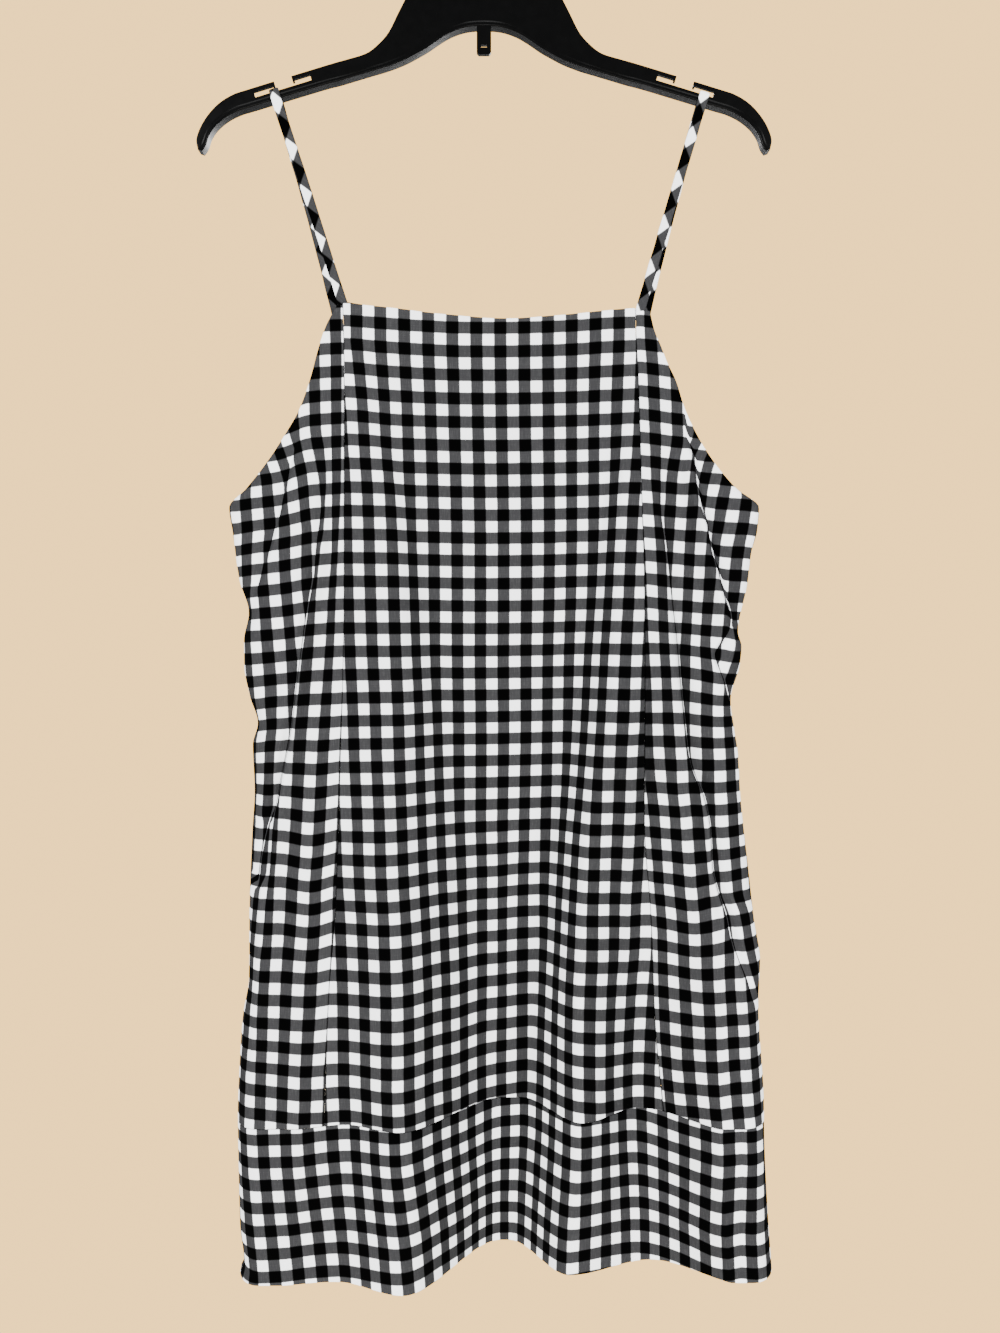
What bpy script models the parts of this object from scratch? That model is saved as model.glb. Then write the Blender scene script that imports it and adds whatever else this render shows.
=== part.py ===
"""Gingham mini dress with thin straps, hung on a moulded clothes hanger.

The cloth is made piece by piece as it is sewn: a centre front between two princess
seams, two side fronts, a back, a deep hem band in front and behind, and two looped
straps.  Every cloth piece is a thin closed wall cut from one draped surface, so the
pieces meet along their seams.  The hanger is one moulded bow with a strap notch in
each arm, and carries a wire hook.

Frame: X to the viewer's right, Y away from the viewer, Z up.  The origin is the inside
top of the hook, where it rests on a rail.  Tables are in millimetres: a drop is the
distance below the rail, across is X, and depth is Y.
"""

import math
from bisect import bisect_right

import bmesh
import bpy
from mathutils import Vector

MM = 0.001

# Cloth
CLOTH = 1.2                 # thickness of a dress panel
BAND_CLOTH = 1.4            # thickness of the hem band, which is turned under
SEAM_GAP = 0.3              # air left between two pieces that are sewn together

# Heights of the dress below the rail
UNDERARM_DROP = 498.0
BAND_SEAM_DROP = 975.0
HEM_DROP = 1095.0
SIDE_TOP_DROPS = (347.5, 352.0)     # where the side fronts run out under the straps, left and right
BACK_TOP_DROP = 372.0

# Side seam: the cloth turns from front to back on a soft edge
TURN_WIDTH = 20.0
TURN_STARTS = 62.0          # height over the underarm where an armhole edge starts to turn in
SEAM_CLOSES = 25.0          # length below the underarm in which front and back come together

# Straps
STRAP_WIDTH = 7.2
STRAP_THICK = 1.8
STRAP_TUCK = 9.0            # length held behind the neck edge
STRAP_FRONT_ENDS = (-103.5, 115.2)
STRAP_BACK_ENDS = (-106.0, 116.5)
STRAP_BESIDE_NOTCH = (-0.4, 7.6)    # from the notch's wall to the middle of the strap, left and right
STRAP_TURN = 1.3            # radius of the turn over the notch floor
STRAP_ON_ARM = 9.0          # length that lies against the arm under the notch floor
STRAP_BOW = (0.3, 1.8)      # sideways bow of the front and the back length
STRAP_STEPS = (0.10, 0.30, 0.50, 0.70, 0.85)

# Hanger
BOW_DEPTH = 10.0            # front to back
BOW_FACE = 2.6              # thickness of the front face over the hollow back
BOW_RIM = 2.2               # rim left round the hollow back
BOW_EDGE = 1.1              # rounding of the front edges
ARM_SLOPE = math.radians(16.7)
NOTCH_ACROSS = 150.5        # middle of the strap notch, from the middle of the hanger
NOTCH_TOP_DROP = 179.8
NOTCH_FLOOR = 7.6           # depth of the notch below the arm's top edge
NOTCH_HALF = 6.8
LIP_THICK = 3.4
LIP_BARB = 1.5
BARB_DEPTH = 5.1
INNER_SLOT = 20.5
OUTER_SLOT = 23.5
LIP_RELIEF = 1.5            # how far the hollow behind the lips runs past the slots
LIP_RELIEF_FLOOR = 7.2      # its depth below the arm's top edge
TAB_WIDTH = 10.7
TAB_DROP = 162.0
TAB_THICK = 3.2
TAB_SLOT = (4.4, 1.8)
TAB_SLOT_DROP = 156.0

# Hook
WIRE = 3.6
HOOK_INSIDE = 40.0          # inner diameter of the hook's bow
CROWN_DROP = 70.0
HOOK_STEM = ((0, 62), (0, 57), (-1.6, 52), (-6, 47.2))      # across, drop
HOOK_SWEEP = (232, -31, -16)                                # start, end and step in degrees
WIRE_SIDES = 8
COLLAR_RADIUS = 6.5
COLLAR_HEIGHT = 8.0
COLLAR_CHAMFER = 2.0
COLLAR_DEPTH = 0.7          # of its width
COLLAR_SIDES = 16


class Track:
    """A smooth line through rows of (position, value), with no overshoot between them."""

    def __init__(self, rows):
        self.at = [row[0] for row in rows]
        self.value = [row[1] for row in rows]
        steps = [b - a for a, b in zip(self.at, self.at[1:])]
        rates = [(b - a) / step for a, b, step in zip(self.value, self.value[1:], steps)]
        self.slope = [rates[0]]
        for before, after, left, right in zip(rates, rates[1:], steps, steps[1:]):
            if before * after <= 0.0:
                self.slope.append(0.0)
            else:
                first, second = 2 * right + left, right + 2 * left
                self.slope.append((first + second) / (first / before + second / after))
        self.slope.append(rates[-1])

    def __call__(self, position):
        position = min(max(position, self.at[0]), self.at[-1])
        i = min(bisect_right(self.at, position) - 1, len(self.at) - 2)
        step = self.at[i + 1] - self.at[i]
        t = (position - self.at[i]) / step
        return ((1 + 2 * t) * (1 - t) ** 2 * self.value[i]
                + t * (1 - t) ** 2 * step * self.slope[i]
                + t * t * (3 - 2 * t) * self.value[i + 1]
                + t * t * (t - 1) * step * self.slope[i + 1])


# Left outline, armhole then side: drop, across
LEFT_EDGE = Track((
    (347, -110), (352, -113), (363, -119), (380, -125), (401, -131), (425, -140), (443, -151), (467, -168),
    (484, -182), (498, -195), (515, -193), (553, -188), (578, -181), (600, -185), (618, -185),
    (642, -181), (663, -175), (680, -179), (715, -178), (746, -180), (808, -183), (862, -184),
    (892, -189), (930, -192), (975, -194), (1056, -193), (1087, -190), (1096, -194)))

# Right outline, armhole then side: drop, across
RIGHT_EDGE = Track((
    (352, 124.5), (366, 128), (379, 133.6), (389, 137.6), (404, 145), (422, 151), (441, 160), (461, 173), (484, 193),
    (498, 210), (516, 209), (531, 205), (556, 202), (593, 195), (604, 198), (617, 197),
    (645, 190), (668, 193), (686, 196), (716, 198), (776, 205), (817, 210), (849, 215),
    (880, 214), (956, 219), (992, 220), (1045, 223), (1096, 227)))

# Princess seams: drop, across
LEFT_SEAM = Track((
    (345, -106), (400, -105), (569, -106), (700, -110), (801, -114), (874, -120), (975, -124)))
RIGHT_SEAM = Track((
    (345, 113.6), (366, 114), (400, 116), (491, 119), (548, 121), (699, 123), (743, 124), (813, 130),
    (906, 135), (975, 142)))

# Neck edge of the centre front: across, drop
NECK_EDGE = Track((
    (-106, 345), (-94, 347), (-66, 350), (-33, 354), (16, 357.5), (57, 355), (97, 351),
    (119, 349.5)))

# Fold lines of the front, from the wearer's right hip to the left one.
# Each row: drop, across, depth (minus is towards the viewer)
FRONT_FOLDS = (
    # outer ridge on the left
    ((345, -165, -3), (420, -165, -3), (497, -160, -8), (570, -158, -14), (650, -152, -16),
     (770, -150, -19), (880, -148, -21), (975, -142, -22), (1095, -154, -29)),
    # shallow dip along the left princess seam
    ((345, -130, -7), (420, -130, -9), (497, -125, -12), (570, -120, -14), (650, -118, -15),
     (770, -118, -16), (880, -114, -15), (975, -108, -14), (1095, -114, -24)),
    # main ridge on the left
    ((345, -100, -10), (420, -96, -14), (497, -74, -18), (570, -69, -20), (650, -66, -20),
     (770, -76, -24), (880, -68, -27), (975, -66, -28), (1095, -62, -41)),
    # left bank of the middle trough, which narrows on its way down
    ((345, -84, -10), (420, -70, -8), (497, -52, -4), (570, -38, 0), (650, -26, 6),
     (770, -4, 17), (880, 7, 28), (975, 14, 34), (1095, 13, 33)),
    # right bank of the middle trough
    ((345, 97, -10), (420, 94, -8), (497, 88, -3), (570, 76, 1), (650, 62, 6),
     (770, 46, 16), (880, 37, 27), (975, 29, 34), (1095, 20, 33)),
    # ridge on the right
    ((345, 114, -10), (420, 112, -12), (497, 105, -17), (570, 103, -21), (650, 99, -24),
     (770, 80, -20), (880, 74, -17), (975, 76, -12), (1095, 66, -15)),
    # dip on the right
    ((345, 150, -7), (420, 150, -8), (497, 150, -9), (570, 148, -10), (650, 146, -8),
     (770, 132, -2), (880, 124, 8), (975, 123, 15), (1095, 132, 6)),
    # outer ridge on the right
    ((345, 180, -3), (420, 180, -3), (497, 178, -8), (570, 178, -13), (650, 176, -14),
     (770, 180, -16), (880, 182, -20), (975, 181, -22), (1095, 190, -25)),
)

# Fold lines of the back: drop, across, depth
BACK_FOLDS = (
    ((372, -160, 6), (497, -155, 14), (650, -150, 30), (975, -150, 44), (1095, -155, 46)),
    ((372, -100, 9), (497, -100, 18), (650, -98, 38), (975, -96, 60), (1095, -100, 66)),
    ((372, -50, 9), (497, -52, 18), (650, -52, 36), (975, -48, 48), (1095, -46, 50)),
    ((372, 16, 9), (497, 14, 18), (650, 12, 38), (975, 14, 60), (1095, 18, 66)),
    ((372, 70, 9), (497, 72, 18), (650, 74, 36), (975, 76, 46), (1095, 80, 47)),
    ((372, 118, 8), (497, 122, 17), (650, 124, 37), (975, 132, 60), (1095, 136, 65)),
    ((372, 170, 6), (497, 168, 14), (650, 166, 30), (975, 180, 44), (1095, 188, 46)),
)

# Long soft creases laid over the fold lines, on the front.
# Each: half width, depth at the middle (minus is a ridge), then its line as drop, across
FRONT_CREASES = (
    # left side front, armhole to hip
    (13.0, -5.0, ((430, -130), (495, -127), (560, -134), (650, -148), (760, -172))),
    # fold that falls from the right armhole to the side
    (14.0, -7.0, ((440, 150), (482, 160), (552, 174), (580, 183), (612, 198))),
    # long crease on the right side front, armhole to hip
    (12.0, 5.0, ((510, 136), (620, 148), (700, 158), (790, 172), (870, 205))),
)


def blend(start, end, share):
    """A value part of the way from start to end."""
    return start + (end - start) * share


def ease(share):
    """A share from 0 to 1 that starts and ends gently."""
    share = min(max(share, 0.0), 1.0)
    return share * share * (3 - 2 * share)


def fold_tracks(folds):
    """Turn each fold line's rows into one track across and one in depth."""
    return [(Track([(drop, across) for drop, across, _ in rows]),
             Track([(drop, depth) for drop, _, depth in rows])) for rows in folds]


FRONT_TRACKS = fold_tracks(FRONT_FOLDS)
BACK_TRACKS = fold_tracks(BACK_FOLDS)
CREASE_TRACKS = [(width, depth, Track(line), line[0][0], line[-1][0])
                 for width, depth, line in FRONT_CREASES]


def crease_depth(across, drop):
    """Depth that the long creases add to the front at one place."""
    total = 0.0
    for width, depth, line, top, bottom in CREASE_TRACKS:
        if top < drop < bottom:
            aside = (across - line(drop)) / width
            if abs(aside) < 1.0:
                along = (drop - top) / (bottom - top)
                total += depth * math.sin(math.pi * along) * math.cos(0.5 * math.pi * aside) ** 2
    return total


def draped_depth(tracks, across, drop):
    """Depth of the cloth where one level section through the fold lines passes."""
    section = Track([(line_across(drop), line_depth(drop)) for line_across, line_depth in tracks])
    return section(across)


def turn_share(drop):
    """How far the edges have turned in at one height: none at the neck, all at the underarm."""
    return ease((drop - UNDERARM_DROP + TURN_STARTS) / TURN_STARTS)


def turned_depth(depth, across, drop, facing):
    """Bring the cloth round to the side seam near either outline; facing is -1 in front."""
    inside = min(across - LEFT_EDGE(drop), RIGHT_EDGE(drop) - across)
    short_of_turn = 1.0 - min(max(inside, 0.0) / TURN_WIDTH, 1.0)
    open_seam = 1.0 - ease((drop - UNDERARM_DROP) / SEAM_CLOSES)
    side_depth = facing * (SEAM_GAP / 2 + 1.25 * CLOTH * open_seam)
    turned = side_depth + (depth - side_depth) * math.sqrt(1.0 - short_of_turn ** 2)
    return blend(depth, turned, turn_share(drop))


def front_point(across, drop):
    """Point of the front's outer face."""
    depth = draped_depth(FRONT_TRACKS, across, drop) + crease_depth(across, drop)
    depth = turned_depth(depth, across, drop, -1)
    return Vector((across, depth, -drop))


def back_point(across, drop):
    """Point of the back's outer face."""
    depth = turned_depth(draped_depth(BACK_TRACKS, across, drop), across, drop, 1)
    return Vector((across, depth, -drop))


def closed_wall(outer, thickness, outward, side_columns):
    """Vertices and faces of a closed wall under a grid of outer points.

    In the side columns the wall's thickness runs level with the side seam.
    """
    rows, columns = len(outer), len(outer[0])
    vertices = [point for row in outer for point in row]
    for i in range(rows):
        for j in range(columns):
            along = outer[i][min(j + 1, columns - 1)] - outer[i][max(j - 1, 0)]
            down = outer[min(i + 1, rows - 1)][j] - outer[max(i - 1, 0)][j]
            normal = along.cross(down).normalized()
            if normal.dot(outward) < 0.0:
                normal = -normal
            if j in side_columns:
                normal.y *= 1.0 - turn_share(-outer[i][j].z)
                normal.normalize()
            vertices.append(outer[i][j] - normal * thickness)
    under = rows * columns
    faces = []
    for i in range(rows - 1):
        for j in range(columns - 1):
            a, b = i * columns + j, i * columns + j + 1
            c, d = a + columns, b + columns
            faces.append((a, b, d, c))
            faces.append((under + c, under + d, under + b, under + a))
    rim = [j for j in range(columns)]
    rim += [i * columns + columns - 1 for i in range(1, rows)]
    rim += [(rows - 1) * columns + j for j in range(columns - 2, -1, -1)]
    rim += [i * columns for i in range(rows - 2, 0, -1)]
    for a, b in zip(rim, rim[1:] + rim[:1]):
        faces.append((b, a, under + a, under + b))
    return vertices, faces


def add_object(name, vertices, faces, material):
    """Make one named object from millimetre points, with its faces pointing out."""
    mesh = bpy.data.meshes.new(name)
    mesh.from_pydata([Vector(v) * MM for v in vertices], [], faces)
    shape = bmesh.new()
    shape.from_mesh(mesh)
    bmesh.ops.recalc_face_normals(shape, faces=shape.faces)
    shape.to_mesh(mesh)
    shape.free()
    mesh.materials.append(material)
    piece = bpy.data.objects.new(name, mesh)
    bpy.context.collection.objects.link(piece)
    return piece


def add_panel(name, point, cells, thickness, outward, side_columns, material):
    """Make one cloth panel from a function of the shares across and down."""
    across_cells, down_cells = cells
    outer = [[point(j / across_cells, i / down_cells) for j in range(across_cells + 1)]
             for i in range(down_cells + 1)]
    vertices, faces = closed_wall(outer, thickness, outward, side_columns)
    piece = add_object(name, vertices, faces, material)
    piece.data.shade_smooth()
    piece.data.set_sharp_from_angle(angle=math.radians(50))
    return piece


def centre_front_point(share_across, share_down):
    """Point of the centre front, between the two princess seams."""
    guess = blend(LEFT_SEAM(NECK_EDGE.at[0]), RIGHT_SEAM(NECK_EDGE.at[0]), share_across)
    drop = blend(NECK_EDGE(guess), BAND_SEAM_DROP - SEAM_GAP / 2, share_down)
    left = LEFT_SEAM(drop) + SEAM_GAP / 2
    right = RIGHT_SEAM(drop) - SEAM_GAP / 2
    return front_point(blend(left, right, share_across), drop)


def side_drop(top, share_down):
    """Drop of a side front's row, with one row level with the underarm."""
    armhole_share = 0.3
    if share_down < armhole_share:
        return blend(top, UNDERARM_DROP, share_down / armhole_share)
    share = (share_down - armhole_share) / (1 - armhole_share)
    return blend(UNDERARM_DROP, BAND_SEAM_DROP - SEAM_GAP / 2, share)


def left_front_point(share_across, share_down):
    """Point of the side front on the viewer's left, rows closer together at the side seam."""
    drop = side_drop(SIDE_TOP_DROPS[0], share_down)
    edge, seam = LEFT_EDGE(drop), LEFT_SEAM(drop) - SEAM_GAP / 2
    return front_point(blend(edge, seam, 1 - math.cos(0.5 * math.pi * share_across)), drop)


def right_front_point(share_across, share_down):
    """Point of the side front on the viewer's right."""
    drop = side_drop(SIDE_TOP_DROPS[1], share_down)
    edge, seam = RIGHT_EDGE(drop), RIGHT_SEAM(drop) + SEAM_GAP / 2
    return front_point(blend(edge, seam, 1 - math.cos(0.5 * math.pi * share_across)), drop)


def edge_to_edge(share):
    """Share across a whole front or back, with cells closer together at both sides."""
    return blend(share, 0.5 - 0.5 * math.cos(math.pi * share), 0.6)


BACK_INSET = Track(((372, 7.0), (425, 6.0), (467, 4.0), (498, 0.0), (1096, 0.0)))


def back_panel_point(share_across, share_down):
    """Point of the back, whose armholes are cut a little deeper than the front's."""
    armhole_share = 0.22
    if share_down < armhole_share:
        drop = blend(BACK_TOP_DROP, UNDERARM_DROP, share_down / armhole_share)
    else:
        share = (share_down - armhole_share) / (1 - armhole_share)
        drop = blend(UNDERARM_DROP, BAND_SEAM_DROP - SEAM_GAP / 2, share)
    left = LEFT_EDGE(drop) + BACK_INSET(drop)
    right = RIGHT_EDGE(drop) - BACK_INSET(drop)
    return back_point(blend(left, right, edge_to_edge(share_across)), drop)


def band_point(surface):
    """Make the point function of one half of the hem band."""
    def point(share_across, share_down):
        drop = blend(BAND_SEAM_DROP + SEAM_GAP / 2, HEM_DROP, share_down)
        return surface(blend(LEFT_EDGE(drop), RIGHT_EDGE(drop), edge_to_edge(share_across)), drop)
    return point


def ring_faces(rings, sides):
    """Faces of a tube of equal rings, with its two end caps."""
    faces = [tuple(range(sides)), tuple(range((rings - 1) * sides, rings * sides))]
    for i in range(rings - 1):
        for j in range(sides):
            a, b = i * sides + j, i * sides + (j + 1) % sides
            faces.append((a, b, b + sides, a + sides))
    return faces


# Section of a strap, as shares of half its width and half its thickness
RIBBON_SECTION = ((-1, 0), (-0.7, 1), (0.7, 1), (1, 0), (0.7, -1), (-0.7, -1))


def ribbon(name, path, across, width, thickness, material):
    """Make a flat closed strip along a path, lying along one width direction."""
    vertices = []
    for i, place in enumerate(path):
        tangent = (path[min(i + 1, len(path) - 1)] - path[max(i - 1, 0)]).normalized()
        side = (across - tangent * across.dot(tangent)).normalized() * width / 2
        normal = tangent.cross(side).normalized() * thickness / 2
        for aside, out in RIBBON_SECTION:
            vertices.append(place + side * aside + normal * out)
    return add_object(name, vertices, ring_faces(len(path), len(RIBBON_SECTION)), material)


def strap_path(sign):
    """Path of one strap: up in front of the arm, through its notch, and down behind."""
    side = 0 if sign < 0 else 1
    neck_front, neck_back = STRAP_FRONT_ENDS[side], STRAP_BACK_ENDS[side]
    arm_across = sign * (NOTCH_ACROSS + NOTCH_HALF + STRAP_BESIDE_NOTCH[side])
    floor_drop = (NOTCH_TOP_DROP + NOTCH_FLOOR / math.cos(ARM_SLOPE)
                  + (abs(arm_across) - NOTCH_ACROSS) * math.tan(ARM_SLOPE))
    clear = SEAM_GAP + STRAP_THICK / 2
    front_edge = front_point(neck_front, NECK_EDGE(neck_front) + 1.0).y + CLOTH + clear
    back_edge = back_point(neck_back, BACK_TOP_DROP + 1.0).y - CLOTH - clear
    half = BOW_DEPTH / 2 + clear
    over = floor_drop - clear
    lean = sign * math.sin(ARM_SLOPE)

    def beside(drop):
        return arm_across - lean * (drop - over)

    points = [Vector((neck_front, front_edge, -(NECK_EDGE(neck_front) + STRAP_TUCK)))]
    arm_foot = floor_drop + STRAP_ON_ARM
    front_foot = Vector((beside(arm_foot), -half, -arm_foot))
    for share in STRAP_STEPS:
        place = points[0].lerp(front_foot, share)
        place.x -= sign * STRAP_BOW[0] * math.sin(math.pi * share)
        place.y = blend(front_edge, -half, ease(share))
        points.append(place)
    points.append(front_foot)
    rising = []
    for angle in (0, 30, 60, 90):
        swing = math.radians(angle)
        depth = -half + STRAP_TURN * (1 - math.cos(swing))
        drop = over + STRAP_TURN * (1 - math.sin(swing))
        rising.append(Vector((beside(drop), depth, -drop)))
    points += rising
    points += [Vector((p.x, -p.y, p.z)) for p in reversed([front_foot] + rising)]
    back_foot = points[-1]
    tail = Vector((neck_back, back_edge, -(BACK_TOP_DROP + STRAP_TUCK)))
    for share in STRAP_STEPS + (1.0,):
        place = back_foot.lerp(tail, share)
        place.x -= sign * STRAP_BOW[1] * math.sin(math.pi * share)
        place.y = blend(half, back_edge, ease(share))
        points.append(place)
    return points


# Half of the hanger's bow, from its middle to the tip.
# Each row: across and drop of the top edge, across and drop of the lower edge
BOW_ROWS = (
    (0, 70, 0, 141), (16, 73, 13, 142), (30, 81, 24, 145.5), (42, 93, 33, 150.5),
    (51, 107, 42, 156.5), (58.5, 122, 51, 161.5), (64, 132.5, 60, 166), (71, 146, 72, 170.5),
    (79, 155, 84, 174), (88, 161.5, 96, 177.5), (103, 166, 108, 181), (118, 170.2, 122, 184.6),
    (176, 187.5, 172, 199.4), (188, 191.5, 183, 202.6), (198, 197.5, 193, 207.5), (206, 205.5, 201, 214),
    (212, 214.5, 206, 221), (215.5, 224, 208.5, 228), (214.5, 231.5, 211.5, 232.5),
)


def bow_stations(first, last, shrink):
    """Top and lower edge points of the bow between two rows, drawn in by a margin."""
    rows = [(-row[0], row[1], -row[2], row[3]) for row in reversed(BOW_ROWS[1:])] + list(BOW_ROWS)
    stations = []
    for top_x, top_drop, low_x, low_drop in rows[first:last]:
        top, low = Vector((top_x, 0, -top_drop)), Vector((low_x, 0, -low_drop))
        inward = (low - top).normalized() * shrink
        stations.append((top + inward, low - inward))
    return stations


def loft_between(name, stations, section, material):
    """Loft a section given as (share from top to lower edge, inset, depth) along stations."""
    vertices = []
    for top, low in stations:
        down = (low - top).normalized()
        for share, inset, depth in section:
            place = top.lerp(low, share) + down * inset
            vertices.append(Vector((place.x, depth, place.z)))
    return add_object(name, vertices, ring_faces(len(stations), len(section)), material)


def extruded(name, outline, depth_from, depth_to, material):
    """Extrude an outline of (across, drop) points from front to back."""
    count = len(outline)
    vertices = [Vector((x, depth_from, -drop)) for x, drop in outline]
    vertices += [Vector((x, depth_to, -drop)) for x, drop in outline]
    faces = [tuple(range(count)), tuple(range(count, 2 * count))]
    faces += [(i, (i + 1) % count, count + (i + 1) % count, count + i) for i in range(count)]
    return add_object(name, vertices, faces, material)


def combine(body, other, operation):
    """Add or cut one solid and drop the tool."""
    modifier = body.modifiers.new(operation.lower(), "BOOLEAN")
    modifier.operation = operation
    modifier.solver = "EXACT"
    modifier.object = other
    bpy.context.view_layer.update()
    result = bpy.data.meshes.new_from_object(body.evaluated_get(bpy.context.evaluated_depsgraph_get()))
    body.modifiers.clear()
    body.data = result
    bpy.data.objects.remove(other)


def arm_outline(sign, profile):
    """Turn places given along and up from the notch's middle on an arm into (across, drop)."""
    outline = []
    for along, up in profile:
        across = NOTCH_ACROSS + along * math.cos(ARM_SLOPE) + up * math.sin(ARM_SLOPE)
        drop = NOTCH_TOP_DROP + along * math.sin(ARM_SLOPE) - up * math.cos(ARM_SLOPE)
        outline.append((sign * across, drop))
    return outline


def notch_outline(sign):
    """Outline of one arm's strap notch: an open gap with a slot under the lip on each side."""
    profile = ((-NOTCH_HALF, 4.0), (NOTCH_HALF, 4.0), (NOTCH_HALF, -BARB_DEPTH),
               (NOTCH_HALF + LIP_BARB, -BARB_DEPTH), (NOTCH_HALF + LIP_BARB, -LIP_THICK),
               (OUTER_SLOT, -LIP_THICK), (OUTER_SLOT, -NOTCH_FLOOR), (-INNER_SLOT, -NOTCH_FLOOR),
               (-INNER_SLOT, -LIP_THICK), (-NOTCH_HALF - LIP_BARB, -LIP_THICK),
               (-NOTCH_HALF - LIP_BARB, -BARB_DEPTH), (-NOTCH_HALF, -BARB_DEPTH))
    return arm_outline(sign, profile)


def relief_outline(sign):
    """Outline of the hollow behind one arm's two lips, which leaves them as thin as the face."""
    inner, outer = -INNER_SLOT - LIP_RELIEF, OUTER_SLOT + LIP_RELIEF
    return arm_outline(sign, ((inner, 4.0), (outer, 4.0), (outer, -LIP_RELIEF_FLOOR), (inner, -LIP_RELIEF_FLOOR)))


def make_hanger(material):
    """Make the moulded bow: rounded front edges, hollow back, strap notches and centre tab."""
    front, back, edge = -BOW_DEPTH / 2, BOW_DEPTH / 2, BOW_EDGE
    section = ((0, 0, back), (0, 0, front + edge), (0, 0.3 * edge, front + 0.3 * edge), (0, edge, front),
               (1, -edge, front), (1, -0.3 * edge, front + 0.3 * edge), (1, 0, front + edge), (1, 0, back))
    whole = 2 * len(BOW_ROWS) - 1
    hanger = loft_between("hanger", bow_stations(0, whole, 0.0), section, material)
    tab = [(-TAB_WIDTH / 2, 138.0), (TAB_WIDTH / 2, 138.0), (TAB_WIDTH / 2, TAB_DROP - 1.5),
           (TAB_WIDTH / 2 - 1.5, TAB_DROP), (1.5 - TAB_WIDTH / 2, TAB_DROP), (-TAB_WIDTH / 2, TAB_DROP - 1.5)]
    combine(hanger, extruded("tab", tab, front + 1.0, front + 1.0 + TAB_THICK, material), "UNION")
    hollow = ((0, 0, front + BOW_FACE), (1, 0, front + BOW_FACE), (1, 0, back + 2), (0, 0, back + 2))
    for first, last in ((2, 6), (8, whole - 8), (whole - 6, whole - 2)):
        cutter = loft_between("hollow", bow_stations(first, last, BOW_RIM), hollow, material)
        combine(hanger, cutter, "DIFFERENCE")
    for sign in (-1, 1):
        combine(hanger, extruded("notch", notch_outline(sign), front - 2, back + 2, material), "DIFFERENCE")
        relief = extruded("relief", relief_outline(sign), front + BOW_FACE, back + 2, material)
        combine(hanger, relief, "DIFFERENCE")
    half, tall = TAB_SLOT[0] / 2, TAB_SLOT[1] / 2
    slot = [(-half, TAB_SLOT_DROP - tall), (half, TAB_SLOT_DROP - tall),
            (half, TAB_SLOT_DROP + tall), (-half, TAB_SLOT_DROP + tall)]
    combine(hanger, extruded("tab_slot", slot, front - 2, back + 2, material), "DIFFERENCE")
    return hanger


def make_hook(material):
    """Make the wire hook: a collar on the crown, a short stem and an open bow."""
    bow = (HOOK_INSIDE + WIRE) / 2
    foot_drop = CROWN_DROP - SEAM_GAP
    path = [Vector((0, 0, 1.0 - foot_drop))]
    path += [Vector((across, 0, -drop)) for across, drop in HOOK_STEM]
    for angle in range(*HOOK_SWEEP):
        turn = math.radians(angle)
        path.append(Vector((bow * math.cos(turn), 0, bow * math.sin(turn) - HOOK_INSIDE / 2)))
    depthways = Vector((0, 1, 0))
    vertices = []
    for i, place in enumerate(path):
        tangent = (path[min(i + 1, len(path) - 1)] - path[max(i - 1, 0)]).normalized()
        normal = depthways.cross(tangent)
        for k in range(WIRE_SIDES):
            turn = 2 * math.pi * k / WIRE_SIDES
            vertices.append(place + (normal * math.cos(turn) + depthways * math.sin(turn)) * WIRE / 2)
    hook = add_object("hook", vertices, ring_faces(len(path), WIRE_SIDES), material)

    top_drop = CROWN_DROP - COLLAR_HEIGHT
    collar = []
    for radius, drop in ((COLLAR_RADIUS, foot_drop), (COLLAR_RADIUS, top_drop + COLLAR_CHAMFER),
                         (COLLAR_RADIUS - COLLAR_CHAMFER, top_drop)):
        for k in range(COLLAR_SIDES):
            turn = 2 * math.pi * k / COLLAR_SIDES
            collar.append(Vector((radius * math.cos(turn), COLLAR_DEPTH * radius * math.sin(turn), -drop)))
    combine(hook, add_object("collar", collar, ring_faces(3, COLLAR_SIDES), material), "UNION")
    return hook


def make_material(name, colour, roughness, metallic=0.0):
    """Make a plain Principled material."""
    material = bpy.data.materials.new(name)
    material.use_nodes = True
    shader = material.node_tree.nodes["Principled BSDF"]
    shader.inputs["Base Color"].default_value = (*colour, 1.0)
    shader.inputs["Roughness"].default_value = roughness
    shader.inputs["Metallic"].default_value = metallic
    return material


def main():
    """Build every piece of the dress and its hanger."""
    for old in list(bpy.data.objects):
        bpy.data.objects.remove(old)
    cotton = make_material("gingham_cotton", (0.21, 0.21, 0.21), 0.85)
    plastic = make_material("black_plastic", (0.006, 0.006, 0.007), 0.32)
    wire = make_material("plated_wire", (0.55, 0.55, 0.56), 0.25, 1.0)
    forward, behind = Vector((0, -1, 0)), Vector((0, 1, 0))

    add_panel("front_centre", centre_front_point, (16, 30), CLOTH, forward, (), cotton)
    add_panel("front_side_left", left_front_point, (9, 32), CLOTH, forward, (0,), cotton)
    add_panel("front_side_right", right_front_point, (9, 32), CLOTH, forward, (0,), cotton)
    add_panel("back", back_panel_point, (24, 26), CLOTH, behind, (0, 24), cotton)
    add_panel("band_front", band_point(front_point), (40, 5), BAND_CLOTH, forward, (0, 40), cotton)
    add_panel("band_back", band_point(back_point), (28, 5), BAND_CLOTH, behind, (0, 28), cotton)

    for name, sign in (("strap_left", -1), ("strap_right", 1)):
        across = Vector((math.cos(ARM_SLOPE), 0, -sign * math.sin(ARM_SLOPE)))
        ribbon(name, strap_path(sign), across, STRAP_WIDTH, STRAP_THICK, cotton)

    make_hanger(plastic)
    make_hook(wire)


main()
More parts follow.
